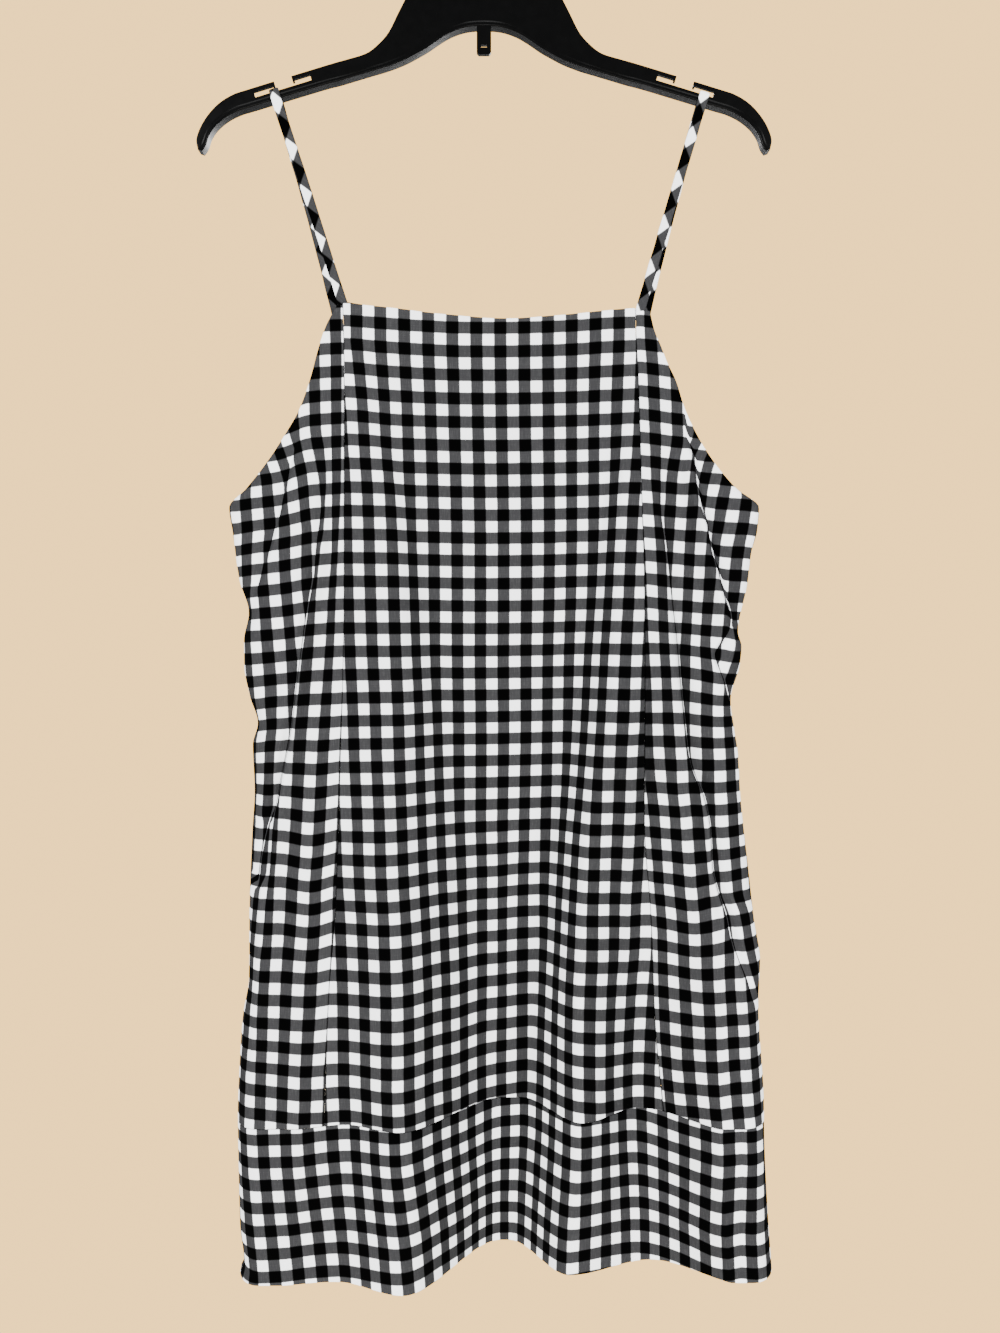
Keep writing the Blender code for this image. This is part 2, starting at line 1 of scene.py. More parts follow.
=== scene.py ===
"""Looks of a gingham mini dress with thin straps, hung on a moulded clothes hanger.

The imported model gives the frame.  Each cloth piece becomes a thin shell on its solid's
form, with its hems and seam edges turned under, its folds and its woven check.  The
straps, the hanger and the hook are finer forms of their solids.

Tables are in millimetres: a drop is the distance below the rail, across is X to the
viewer's right, and depth is Y, minus towards the viewer.
"""

import logging
import math
from dataclasses import dataclass, field
from enum import Enum

import bmesh
import bpy
import numpy as np
from bpy.types import ID, Material, Mesh, Node, NodeSocket, NodeTree, Object
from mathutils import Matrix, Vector


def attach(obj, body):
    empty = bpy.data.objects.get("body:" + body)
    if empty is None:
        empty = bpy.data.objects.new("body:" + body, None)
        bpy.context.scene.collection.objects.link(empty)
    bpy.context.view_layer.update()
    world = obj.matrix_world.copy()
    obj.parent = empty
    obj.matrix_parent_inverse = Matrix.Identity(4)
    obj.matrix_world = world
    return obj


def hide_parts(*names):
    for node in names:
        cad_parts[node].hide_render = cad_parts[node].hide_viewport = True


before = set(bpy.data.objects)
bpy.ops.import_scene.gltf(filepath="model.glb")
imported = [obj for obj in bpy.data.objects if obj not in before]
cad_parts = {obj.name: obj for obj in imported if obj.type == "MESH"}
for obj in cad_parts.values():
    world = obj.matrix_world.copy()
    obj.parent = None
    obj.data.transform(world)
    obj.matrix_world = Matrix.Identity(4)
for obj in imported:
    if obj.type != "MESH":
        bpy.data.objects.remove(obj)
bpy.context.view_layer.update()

LOG = logging.getLogger("mini_dress")
MM = 0.001
TINY = 1e-9
BODY = "root"
UV_NAME = "cloth"

# Heights of the dress below the rail, as in the model
UNDERARM_DROP = 498.0
BAND_SEAM_DROP = 975.0
HEM_DROP = 1095.0
BACK_TOP_DROP = 372.0
SEAM_GAP = 0.3

# The woven check: one repeat is a light and a dark stripe
REPEAT_ACROSS = 18.0
REPEAT_DOWN = 17.5

# Sizes of the grids that the panels are made on
NOMINAL_WIDTH = 400.0
SIDE_CROWDING = 0.6
UNDERARM_EASE = 25.0

Rows = tuple[tuple[float, ...], ...]
Value = float | np.ndarray


class Edge(Enum):
    """The four edges of a cloth grid."""

    TOP = "top"
    BOTTOM = "bottom"
    LEFT = "left"
    RIGHT = "right"


def placed(data: ID) -> Object:
    """Put a mesh, camera or lamp in the scene as an object of the same name."""
    piece = bpy.data.objects.new(data.name, data)
    bpy.context.collection.objects.link(piece)
    return piece


def blend(start: Value | Vector, end: Value | Vector, share: Value) -> Value | Vector:
    """Give the value part of the way from start to end."""
    return start + (end - start) * share


def ease(share: np.ndarray) -> np.ndarray:
    """Turn a share into one that starts and ends gently, held between 0 and 1."""
    share = np.clip(share, 0.0, 1.0)
    return share * share * (3 - 2 * share)


def bell(offset: np.ndarray) -> np.ndarray:
    """Give a soft hump of height 1 at offset 0."""
    return np.exp(-offset * offset)


def monotone(at: np.ndarray, value: np.ndarray, position: np.ndarray) -> np.ndarray:
    """Read a smooth line that never overshoots its rows.

    Args:
        at: Row positions, one column for all places or one for each.
        value: Row values, shaped as the positions are.
        position: Places to read, one dimension.

    Returns:
        The value at each place.
    """
    position = np.clip(position, at[0], at[-1])
    step = np.diff(at, axis=0)
    rate = np.diff(value, axis=0) / step
    before, after = rate[:-1], rate[1:]
    first, second = 2 * step[1:] + step[:-1], step[1:] + 2 * step[:-1]
    same = before * after > 0
    mean = (first + second) / (first / np.where(same, before, 1.0) + second / np.where(same, after, 1.0))
    slope = np.concatenate((rate[:1], np.where(same, mean, 0.0), rate[-1:]))
    shape = (at.shape[0], position.shape[0])
    at, value, slope = (np.broadcast_to(table, shape) for table in (at, value, slope))
    place = np.arange(position.shape[0])
    i = np.clip((at <= position).sum(axis=0) - 1, 0, at.shape[0] - 2)
    step = at[i + 1, place] - at[i, place]
    t = (position - at[i, place]) / step
    return ((1 + 2 * t) * (1 - t) ** 2 * value[i, place]
            + t * (1 - t) ** 2 * step * slope[i, place]
            + t * t * (3 - 2 * t) * value[i + 1, place]
            + t * t * (t - 1) * step * slope[i + 1, place])


class Track:
    """A smooth line through rows of (position, value), with no overshoot between them."""

    def __init__(self, rows: Rows) -> None:
        """Keep the rows as two columns.

        Args:
            rows: Pairs of position and value, in rising order of position.
        """
        self.at = np.array([row[0] for row in rows], float)[:, None]
        self.value = np.array([row[1] for row in rows], float)[:, None]

    def __call__(self, position: np.ndarray | float) -> np.ndarray:
        """Read the line at any array of positions."""
        position = np.asarray(position, float)
        return monotone(self.at, self.value, position.ravel()).reshape(position.shape)


class Lines:
    """A surface through lines that run down the cloth, such as its folds.

    Each line has rows of (drop, across, value), and each level section through the
    lines is smooth.
    """

    def __init__(self, lines: tuple[Rows, ...]) -> None:
        """Keep each line as one track across and one of its value.

        Args:
            lines: The lines from left to right, each a table of rows.
        """
        self.across = [Track(tuple((row[0], row[1]) for row in rows)) for rows in lines]
        self.value = [Track(tuple((row[0], row[2]) for row in rows)) for rows in lines]

    def __call__(self, across: np.ndarray, drop: np.ndarray) -> np.ndarray:
        """Read the surface.

        Args:
            across: Places across.
            drop: Their drops, shaped alike.

        Returns:
            The value at each place.
        """
        flat = drop.ravel()
        at = np.stack([line(flat) for line in self.across])
        value = np.stack([line(flat) for line in self.value])
        return monotone(at, value, across.ravel()).reshape(across.shape)


@dataclass(frozen=True)
class Drift:
    """How far the woven check has moved on the body from its even layout.

    A row has its drop, then the moves across and the moves down at each place.
    """

    places: tuple[float, ...]
    rows: tuple[tuple[float, tuple[float, ...], tuple[float, ...]], ...]

    def read(self, column: int, across: np.ndarray, drop: np.ndarray) -> np.ndarray:
        """Read one of the two moves, for places given as across and drop."""
        lines = [Track(tuple((row[0], row[column][i]) for row in self.rows)) for i in range(len(self.places))]
        value = np.stack([line(drop.ravel()) for line in lines])
        return monotone(np.array(self.places)[:, None], value, across.ravel()).reshape(across.shape)

    def sideways(self, across: np.ndarray, drop: np.ndarray) -> np.ndarray:
        """Give the move to the viewer's right in check repeats."""
        return self.read(1, across, drop) / REPEAT_ACROSS

    def down(self, across: np.ndarray, drop: np.ndarray) -> np.ndarray:
        """Give the move down in millimetres."""
        return self.read(2, across, drop)


def soft_noise(across: np.ndarray, drop: np.ndarray, size: float, seed: int) -> np.ndarray:
    """Make smooth random relief.

    Args:
        across: Places across, in millimetres.
        drop: Their drops.
        size: Size of one undulation in millimetres.
        seed: Fixed seed of the pattern.

    Returns:
        Values between -1 and 1.
    """
    cells = 127
    lattice = np.random.default_rng(seed).uniform(-1.0, 1.0, (cells + 1, cells + 1))
    # the middle of the lattice lies at the middle of the dress
    u, v = across / size + (cells + 1) / 2, drop / size
    i, j = np.floor(u).astype(int), np.floor(v).astype(int)
    fu, fv = ease(u - i), ease(v - j)
    i, j = i % cells, j % cells
    upper = blend(lattice[i, j], lattice[i + 1, j], fu)
    lower = blend(lattice[i, j + 1], lattice[i + 1, j + 1], fu)
    return blend(upper, lower, fv)


# Left outline, armhole then side: drop, across
LEFT_EDGE = Track((
    (347, -110), (352, -113), (363, -119), (380, -125), (401, -131), (425, -140), (443, -151), (467, -168),
    (484, -182), (498, -195), (515, -193), (553, -188), (578, -181), (600, -185), (618, -185),
    (642, -181), (663, -175), (680, -179), (715, -178), (746, -180), (808, -183), (862, -184),
    (892, -189), (930, -192), (975, -194), (1056, -193), (1087, -190), (1096, -194)))

# Right outline, armhole then side: drop, across
RIGHT_EDGE = Track((
    (352, 124.5), (366, 128), (379, 133.6), (389, 137.6), (404, 145), (422, 151), (441, 160),
    (461, 173), (484, 193), (498, 210), (516, 209), (531, 205), (556, 202), (593, 195), (604, 198),
    (617, 197), (645, 190), (668, 193), (686, 196), (716, 198), (776, 205), (817, 210), (849, 215),
    (880, 214), (956, 219), (992, 220), (1045, 223), (1096, 227)))

# Princess seams: drop, across
LEFT_SEAM = Track((
    (345, -106), (400, -105), (569, -106), (700, -110), (801, -114), (874, -120), (975, -124)))
RIGHT_SEAM = Track((
    (345, 113.6), (366, 114), (400, 116), (491, 119), (548, 121), (699, 123), (743, 124), (813, 130),
    (906, 135), (975, 142)))

# Neck edge of the centre front: across, drop
NECK_EDGE = Track((
    (-106, 345), (-94, 347), (-66, 350), (-33, 354), (16, 357.5), (57, 355), (97, 351),
    (119, 349.5)))

# How far inside the front's outline the back's armholes lie: drop, inset
BACK_INSET = Track(((372, 7.0), (425, 6.0), (467, 4.0), (498, 0.0), (1096, 0.0)))


def fold_lines(drops: tuple[float, ...], lines: tuple[Rows, ...]) -> tuple[Rows, ...]:
    """Turn lines given as places across and depths at shared drops into (drop, across, depth)."""
    return tuple(tuple(zip(drops, across, depth)) for across, depth in lines)


# Fold lines of the front from left to right: drops, then for each line its places across and depths
FRONT_FOLDS = fold_lines((345, 420, 497, 570, 650, 770, 880, 975, 1095), (
    # outer ridge on the left
    ((-165, -165, -160, -158, -152, -150, -148, -142, -154), (-3, -3, -8, -14, -16, -19, -21, -22, -29)),
    # shallow dip along the left princess seam
    ((-130, -130, -125, -120, -118, -118, -114, -108, -114), (-7, -9, -12, -14, -15, -16, -15, -14, -24)),
    # main ridge on the left
    ((-100, -96, -74, -69, -66, -76, -68, -66, -62), (-10, -14, -18, -20, -20, -24, -27, -28, -41)),
    # left bank of the middle trough, which narrows on its way down
    ((-84, -70, -52, -38, -26, -4, 7, 14, 13), (-10, -8, -4, 0, 6, 17, 28, 34, 33)),
    # right bank of the middle trough
    ((97, 94, 88, 76, 62, 46, 37, 29, 20), (-10, -8, -3, 1, 6, 16, 27, 34, 33)),
    # ridge on the right
    ((114, 112, 105, 103, 99, 80, 74, 76, 66), (-10, -12, -17, -21, -24, -20, -17, -12, -15)),
    # dip on the right
    ((150, 150, 150, 148, 146, 132, 124, 123, 132), (-7, -8, -9, -10, -8, -2, 8, 15, 6)),
    # outer ridge on the right
    ((180, 180, 178, 178, 176, 180, 182, 181, 190), (-3, -3, -8, -13, -14, -16, -20, -22, -25)),
))

# Fold lines of the back, in the same way
BACK_FOLDS = fold_lines((372, 497, 650, 975, 1095), (
    ((-160, -155, -150, -150, -155), (6, 14, 30, 44, 46)),
    ((-100, -100, -98, -96, -100), (9, 18, 38, 60, 66)),
    ((-50, -52, -52, -48, -46), (9, 18, 36, 48, 50)),
    ((16, 14, 12, 14, 18), (9, 18, 38, 60, 66)),
    ((70, 72, 74, 76, 80), (9, 18, 36, 46, 47)),
    ((118, 122, 124, 132, 136), (8, 17, 37, 60, 65)),
    ((170, 168, 166, 180, 188), (6, 14, 30, 44, 46)),
))

# Number of check rows from the first full one under the neck: drop, rows
ROW_COUNT = Track((
    (333.3, -3), (385.5, 0), (559.5, 10), (733, 20), (821, 25), (896, 29), (971, 33), (989, 34)))


@dataclass(frozen=True)
class Crease:
    """A long soft ridge or trough laid over the fold lines.

    Its line has rows of (drop, across), and a minus depth is a ridge.
    """

    half_width: float
    depth: float
    line: Rows

    def __call__(self, across: np.ndarray, drop: np.ndarray) -> np.ndarray:
        """Give the depth that the crease adds, for places given as across and drop."""
        top, bottom = self.line[0][0], self.line[-1][0]
        along = np.clip((drop - top) / (bottom - top), 0.0, 1.0)
        aside = np.clip((across - Track(self.line)(drop)) / self.half_width, -1.0, 1.0)
        return self.depth * np.sin(math.pi * along) * np.cos(0.5 * math.pi * aside) ** 2


@dataclass(frozen=True)
class Tuck:
    """A sharp fold that takes cloth up: a soft ridge on its seam side over a slit.

    The line has rows of (drop, across, depth of the slit, check repeats taken up).
    Outward is the sign of the way from the princess seam to the side seam.
    """

    outward: int
    line: Rows
    near_width: float = 1.5
    far_width: float = 4.5
    ridge_share: float = 0.5
    ridge_offset: float = 5.0
    jump_width: float = 0.9

    def column(self, index: int) -> Track:
        """Give one of the line's columns as a track down the cloth."""
        return Track(tuple((row[0], row[index]) for row in self.line))

    def aside(self, across: np.ndarray, drop: np.ndarray) -> np.ndarray:
        """Give the distance outward of the line, for places given as across and drop."""
        return self.outward * (across - self.column(1)(drop))

    def relief(self, across: np.ndarray, drop: np.ndarray) -> np.ndarray:
        """Give the depth that the tuck adds, for places given as across and drop."""
        aside = self.aside(across, drop)
        width = np.where(aside < 0.0, self.near_width, self.far_width)
        slit = bell(aside / width)
        ridge = self.ridge_share * bell((aside + self.ridge_offset) / self.ridge_offset)
        return self.column(2)(drop) * (slit - ridge)

    def taken_up(self, across: np.ndarray, drop: np.ndarray) -> np.ndarray:
        """Give the check repeats hidden between the seam and each place."""
        share = ease(0.5 + 0.5 * self.aside(across, drop) / self.jump_width)
        return self.column(3)(drop) * share


@dataclass(frozen=True)
class Pucker:
    """Small uneven gathers that a line of stitching pulls into the cloth beside it."""

    height: float
    reach: float
    size: float
    seed: int

    def __call__(self, along: np.ndarray, aside: np.ndarray) -> np.ndarray:
        """Give the depth added at places given along the stitching and aside from it."""
        wave = soft_noise(np.zeros_like(along), along, self.size, self.seed)
        return self.height * wave * bell(aside / self.reach)


# Sharp folds beside the left armhole, from the princess seam outward:
# drop, across, depth of the slit, check repeats taken up
LEFT_TUCKS = (
    Tuck(-1, ((345, -115, 0.0, 0.0), (440, -115, 0.3, 0.1), (481, -115, 1.6, 0.35), (513, -115, 1.6, 0.35),
              (531, -115, 1.3, 0.25), (569, -115, 0.9, 0.16), (637, -116, 0.5, 0.1),
              (722, -119, 0.0, 0.0), (975, -133, 0.0, 0.0))),
    Tuck(-1, ((345, -120, 0.0, 0.0), (432, -120, 0.0, 0.0), (470, -120, 1.5, 0.15), (495, -122, 2.6, 0.3),
              (531, -127.3, 3.6, 0.6), (548, -128.6, 4.0, 0.72), (569, -132.4, 4.4, 0.9),
              (604, -138, 4.8, 1.2), (637, -143, 5.0, 1.5), (653, -145, 5.0, 1.6), (671, -147.5, 5.0, 1.7),
              (706, -155, 5.0, 1.7), (722, -158, 4.6, 1.7), (731, -160, 3.8, 1.15), (739, -161, 3.2, 0.6),
              (775, -164, 2.6, 0.6), (791, -166, 2.0, 0.3), (810, -168, 1.2, 0.2), (850, -170, 0.0, 0.0),
              (975, -172, 0.0, 0.0))),
    Tuck(-1, ((345, -138, 0.0, 0.0), (433, -138, 0.0, 0.0), (460, -145, 1.6, 0.2), (481, -150, 2.8, 0.35),
              (497, -154, 3.2, 0.35), (528, -162.5, 3.0, 0.3), (552, -170, 2.4, 0.25), (568, -175, 1.0, 0.06),
              (600, -177, 0.0, 0.0), (660, -171, 0.0, 0.0), (700, -160, 0.0, 0.0), (722, -160, 0.4, 0.0),
              (731, -162, 1.6, 0.55), (739, -164.5, 2.4, 1.2), (757, -169, 2.6, 1.2),
              (775, -172, 2.6, 1.2), (791, -173, 1.6, 0.2), (810, -175, 1.2, 0.15), (901, -180, 0.4, 0.1),
              (940, -182, 0.0, 0.0), (975, -183, 0.0, 0.0))),
)

# Sharp folds beside the right armhole, from the princess seam outward
RIGHT_TUCKS = (
    Tuck(1, ((345, 134, 0.0, 0.0), (441, 134, 0.0, 0.0), (470, 134, 1.6, 0.25), (493, 134, 2.6, 0.4),
             (529, 138.5, 3.4, 0.65), (565, 143, 3.8, 0.8), (597, 147.6, 4.2, 0.92), (632, 151.5, 4.6, 1.08),
             (660, 155, 4.8, 1.18), (691, 159, 5.0, 1.27), (723, 170, 4.8, 1.38), (744, 174, 4.8, 1.45),
             (774, 176, 4.6, 1.45), (792, 180, 4.4, 1.45), (810, 186, 4.0, 1.2), (829, 190, 3.4, 1.05),
             (844, 195, 2.8, 0.85), (864, 203, 1.6, 0.5), (885, 207, 0.0, 0.0), (975, 210, 0.0, 0.0))),
    Tuck(1, ((345, 152, 0.0, 0.0), (438, 152, 0.0, 0.0), (461, 159, 3.0, 0.35), (492, 163, 4.4, 0.6),
             (511, 169, 4.6, 0.65), (529, 172, 4.8, 0.75), (547, 177, 4.8, 0.8), (565, 182, 4.4, 0.8),
             (582, 188, 3.0, 0.8), (590, 187, 2.6, 0.55), (600, 181, 2.8, 0.46), (610, 175.5, 3.2, 0.52),
             (621, 179.2, 3.2, 0.78), (630, 183.2, 2.6, 0.95), (643, 187.8, 1.4, 1.0), (650, 193, 0.0, 1.0),
             (700, 203, 0.0, 0.0), (776, 210, 0.0, 0.0), (849, 220, 0.0, 0.0), (975, 225, 0.0, 0.0))),
)

# How far the check rows sink below their level on the side fronts: drop, across, sag
LEFT_SAG = Lines((
    ((345, -188, 12.5), (519, -188, 12.1), (550, -187, 9.5), (600, -182, 7.0), (669, -178, 6.0),
     (702, -179, 3.5), (735, -180, 0.5), (975, -182, 0.0)),
    ((345, -157, 8.3), (481, -157, 8.3), (531, -157, 6.5), (599, -158, 4.9), (650, -158, 3.8),
     (700, -158, 1.8), (750, -158, 0.8), (975, -158, 0.0)),
    ((345, -131, 0.0), (474, -131, 1.3), (527, -131, 2.0), (600, -131, 1.4), (666, -131, 2.4),
     (720, -133, 4.0), (773, -133, 5.4), (808, -133, 5.0), (880, -134, 2.0), (975, -138, 0.0)),
    ((345, -106, 0.0), (569, -106, 0.0), (700, -110, 0.0), (801, -114, 0.0), (874, -120, 0.0),
     (975, -124, 0.0)),
))
RIGHT_SAG = Lines((
    ((345, 118, -4.2), (451, 118, -4.2), (504, 119, -2.8), (540, 120, -2.3), (593, 121, -1.5),
     (660, 122, -0.8), (720, 123, 0.0), (813, 130, 0.0), (975, 142, 0.0)),
    ((345, 149, -1.1), (454, 149, -1.1), (524, 149, -0.5), (578, 149, 1.0), (620, 149, -0.9),
     (664, 149, 0.1), (718, 151, 2.3), (771, 157, 3.5), (826, 160, 5.2), (880, 164, 2.5), (975, 168, 0.0)),
    ((345, 151, -1.0), (438, 151.5, -1.0), (461, 158, 0.0), (492, 162.5, 0.6), (529, 171, 1.6),
     (565, 181, 1.6), (595, 182, 1.0), (631, 180, 2.0), (683, 180, 1.3), (733, 183, -0.1),
     (783, 185, -2.6), (835, 188, -4.0), (880, 192, -2.0), (975, 196, 0.0)),
    ((345, 154, 8.0), (438, 154, 8.0), (461, 161, 9.0), (492, 165, 9.2), (529, 174, 10.5),
     (565, 184, 10.5), (595, 193, 3.0), (631, 189, 2.2), (683, 190, 1.0), (733, 194, -0.5),
     (783, 199, -2.6), (835, 204, -5.5), (880, 208, -2.0), (975, 214, 0.0)),
    ((345, 206, 14.5), (504, 207, 14.4), (538, 204, 13.6), (565, 202, 12.0), (595, 196, 3.0),
     (631, 194, 2.2), (683, 196, 1.0), (733, 200, -0.5), (783, 206, -2.6), (835, 213, -5.8),
     (880, 215, -2.0), (975, 220, 0.0)),
))

# Check repeats counted from the middle of the front to each princess seam: drop, repeats
LEFT_SEAM_COUNT = Track((
    (345, -7.9), (481, -7.85), (531, -7.76), (569, -7.66), (604, -7.6), (653, -7.52), (689, -7.47),
    (722, -7.43), (758, -7.41), (791, -7.36), (901, -7.40), (975, -7.42)))
RIGHT_SEAM_COUNT = Track((
    (345, 7.0), (493, 6.94), (529, 6.91), (565, 6.89), (597, 6.84), (632, 6.69), (668, 6.54),
    (703, 6.38), (739, 6.23), (774, 6.31), (792, 6.35), (829, 6.31), (904, 6.38), (975, 6.4)))

# Place of the front's middle thread: drop, across
MIDDLE_THREAD = Track((
    (345, 16.5), (405, 16.5), (535, 18.1), (603, 18.1), (672, 18.9), (740, 18.3), (808, 16.7), (950, 16.2)))

# How far the band's columns stand from the panels' columns, in repeats: across, shift
BAND_SHIFT = Track((
    (-200, -0.5), (-181, -0.5), (-110, -0.3), (-60, -0.15), (-9, -0.4), (16, -0.15), (60, 0.1),
    (150, 0.12), (209, 0.0), (230, 0.0)))
# Where the band's first light row starts below its seam: across, distance
BAND_START = Track((
    (-195, 10.5), (-170, 9.5), (-110, 8), (-75, 6), (-50, 4.6), (0, 3), (16, 2.5), (50, 3), (90, 3.5),
    (120, 5), (150, 8), (190, 12), (220, 15)))

# How far the check has moved: places across, then drop, moves to the right, moves down
CENTRE_DRIFT = Drift((-104, -87.5, -41.5, -18.5, 4.5, 27.5, 50, 73, 96, 112), (
    (375, (0.4, 0.2, 0, 0.2, 0.2, 0.2, 0, -0.2, -0.3, -1.2),
     (-4.4, -3.4, -0.4, 0.6, 0.8, 0.6, 0, -1.2, -2.8, -3.1)),
    (432, (5.2, 3.6, 1.4, 1.2, 1.0, 0.7, 0.5, -0.6, -1.9, -2.3),
     (-2.9, -1.9, 0.3, 0.8, 1.0, 0.8, 0.4, -0.3, -1.3, -1.4)),
    (554, (2.9, 2.3, 1.9, 1.5, 1.3, 1.0, 0.2, -1.5, -3.4, -4.2),
     (-0.7, -0.5, 0.1, 0.6, 0.8, 0.6, 0.1, -0.8, -1.1, -0.8)),
    (676, (3.2, 2.6, 1.6, 1.3, 0.6, 0.1, -1.6, -4.3, -6.1, -4.8),
     (1.6, 1.0, 0.1, 0.6, 0.3, -0.3, -1.0, -1.8, -2.6, -2.0)),
    (737, (4.6, 4.0, 2.4, 1.8, 0.6, -0.4, -1.7, -3.5, -3.9, -1.5),
     (2.3, 1.9, 1.2, 1.6, 0.8, -0.3, -1.2, -3.0, -2.7, -0.9)),
    (798, (4.7, 4.4, 3.4, 4.1, 2.8, 0.1, -0.6, -1.0, -0.4, 2.0),
     (3.5, 3.2, 2.8, 4.2, 3.5, 0.8, -0.7, -2.8, -1.2, 1.6)),
    (859, (1.9, 1.9, 1.4, 3.6, 3.1, 0, 0.7, 1.3, 4.0, 6.2),
     (3.3, 2.8, 1.5, 4.2, 3.5, 0.5, -1.8, -3.8, -0.4, 2.9)),
    (943, (-2.2, -1.7, -1.7, 1.1, 1.8, 0.3, 0.8, 0.9, 3.5, 5.0),
     (1.5, 1.2, -0.5, 3.0, 2.9, 0.1, -2.6, -4.4, 0.8, 3.6))))
LEFT_DRIFT = Drift((-175, -145, -114), (
    (478, (2.8, 1.2, 0.3), (-0.8, -0.7, -1.1)),
    (539, (1.5, 0.2, -0.3), (-0.5, -0.3, -1.2)),
    (600, (0, 0.6, 0), (-0.3, 0, -0.2)),
    (661, (-1.3, 0.2, -0.4), (0.4, -0.3, 1.4)),
    (722, (1.8, 1.1, 0.5), (-0.3, 0.1, 1.5)),
    (783, (0.9, 0.4, 0), (1.8, 0.9, 1.5)),
    (844, (1.7, 0.7, 2.0), (3.3, 2.2, 3.0)),
    (874, (1.6, 0.9, 3.0), (1.7, 2.0, 3.6)),
    (905, (1.9, 0.5, 1.9), (-0.6, 1.6, 3.6)),
    (935, (1.6, -0.2, 0), (-3.6, 0, 2.8))))
RIGHT_DRIFT = Drift((134, 150, 165, 180, 196), (
    (478, (-2.7, -3.4, -3.7, -3.5, -3.0), (-0.1, 0.2, -1.8, -3.8, -3.7)),
    (539, (-0.8, -1.8, -3.6, -3.4, -1.7), (-0.6, -0.2, 0.7, 0, -0.8)),
    (600, (-0.2, 0.2, -3.5, -5.5, -2.0), (-0.8, -0.5, 0.8, 1.8, 2.0)),
    (630, (-0.4, -0.2, -1.3, -1.5, -0.2), (0, 0.2, 0.7, 1.8, 2.8)),
    (691, (-2.3, -2.4, -2.4, -2.2, -1.7), (0.3, 0.4, -0.2, -0.5, -0.6)),
    (722, (-2.0, -4.2, -4.0, -3.3, -1.8), (0.8, 0.5, -0.2, -0.2, -0.2)),
    (783, (1.2, -1.9, -1.8, -1.0, -1.6), (2.0, 0.9, 1.5, 1.8, -0.3)),
    (844, (1.0, -1.1, -0.5, 0.2, -2.2), (3.2, 1.4, 0.6, 2.4, 3.4)),
    (905, (1.7, 0.8, 2.8, 4.0, 3.2), (4.7, 3.4, 1.4, -0.3, -1.2)),
    (935, (1.8, 0.1, 3.1, 4.6, 3.9), (5.4, 4.4, 0.6, -2.3, -4.4))))
BAND_DRIFT = Drift((-166, -135, -104, -73, -42, -11, 20, 51, 82, 112, 143, 174, 198), (
    (1000, (-2.8, -1.9, 0.5, 0.6, 0.9, 1.4, 2.2, 0.6, 0.4, 1.4, -0.1, 1.8, 1.4),
     (3.1, 2.9, 3.6, 3.0, 2.5, 6.0, 3.6, 0.8, -1.0, 3.3, 5.5, 1.6, -2.8)),
    (1060, (-1.6, 0, 1.6, 3.3, 3.6, 4.4, 0.5, -0.9, 1.1, 2.4, -1.5, -3.6, -3.6),
     (3.2, 2.4, 2.7, 1.8, 1.5, 6.1, 6.0, 4.0, 1.0, 2.9, 4.8, 4.9, -1.8))))


@dataclass(frozen=True)
class SidePlan:
    """What one side front follows: its edges, its sharp folds and its place in the check.

    Sign is minus one on the viewer's left.  Cells are counted across each strip between
    the sharp folds, and rooms are the least widths left beyond each fold.
    """

    sign: int
    node: str
    top_drop: float
    seam: Track
    edge: Track
    tucks: tuple[Tuck, ...]
    seam_count: Track
    sag: Lines
    drift: Drift
    cells: tuple[int, ...]
    rooms: tuple[float, ...]


LEFT_SIDE = SidePlan(
    sign=-1, node="front_side_left", top_drop=347.5, seam=LEFT_SEAM, edge=LEFT_EDGE, tucks=LEFT_TUCKS,
    seam_count=LEFT_SEAM_COUNT, sag=LEFT_SAG, drift=LEFT_DRIFT, cells=(14, 16, 18, 16),
    rooms=(10.0, 6.5, 3.2))
RIGHT_SIDE = SidePlan(
    sign=1, node="front_side_right", top_drop=352.0, seam=RIGHT_SEAM, edge=RIGHT_EDGE, tucks=RIGHT_TUCKS,
    seam_count=RIGHT_SEAM_COUNT, sag=RIGHT_SAG, drift=RIGHT_DRIFT, cells=(30, 22, 14), rooms=(6.5, 3.2))


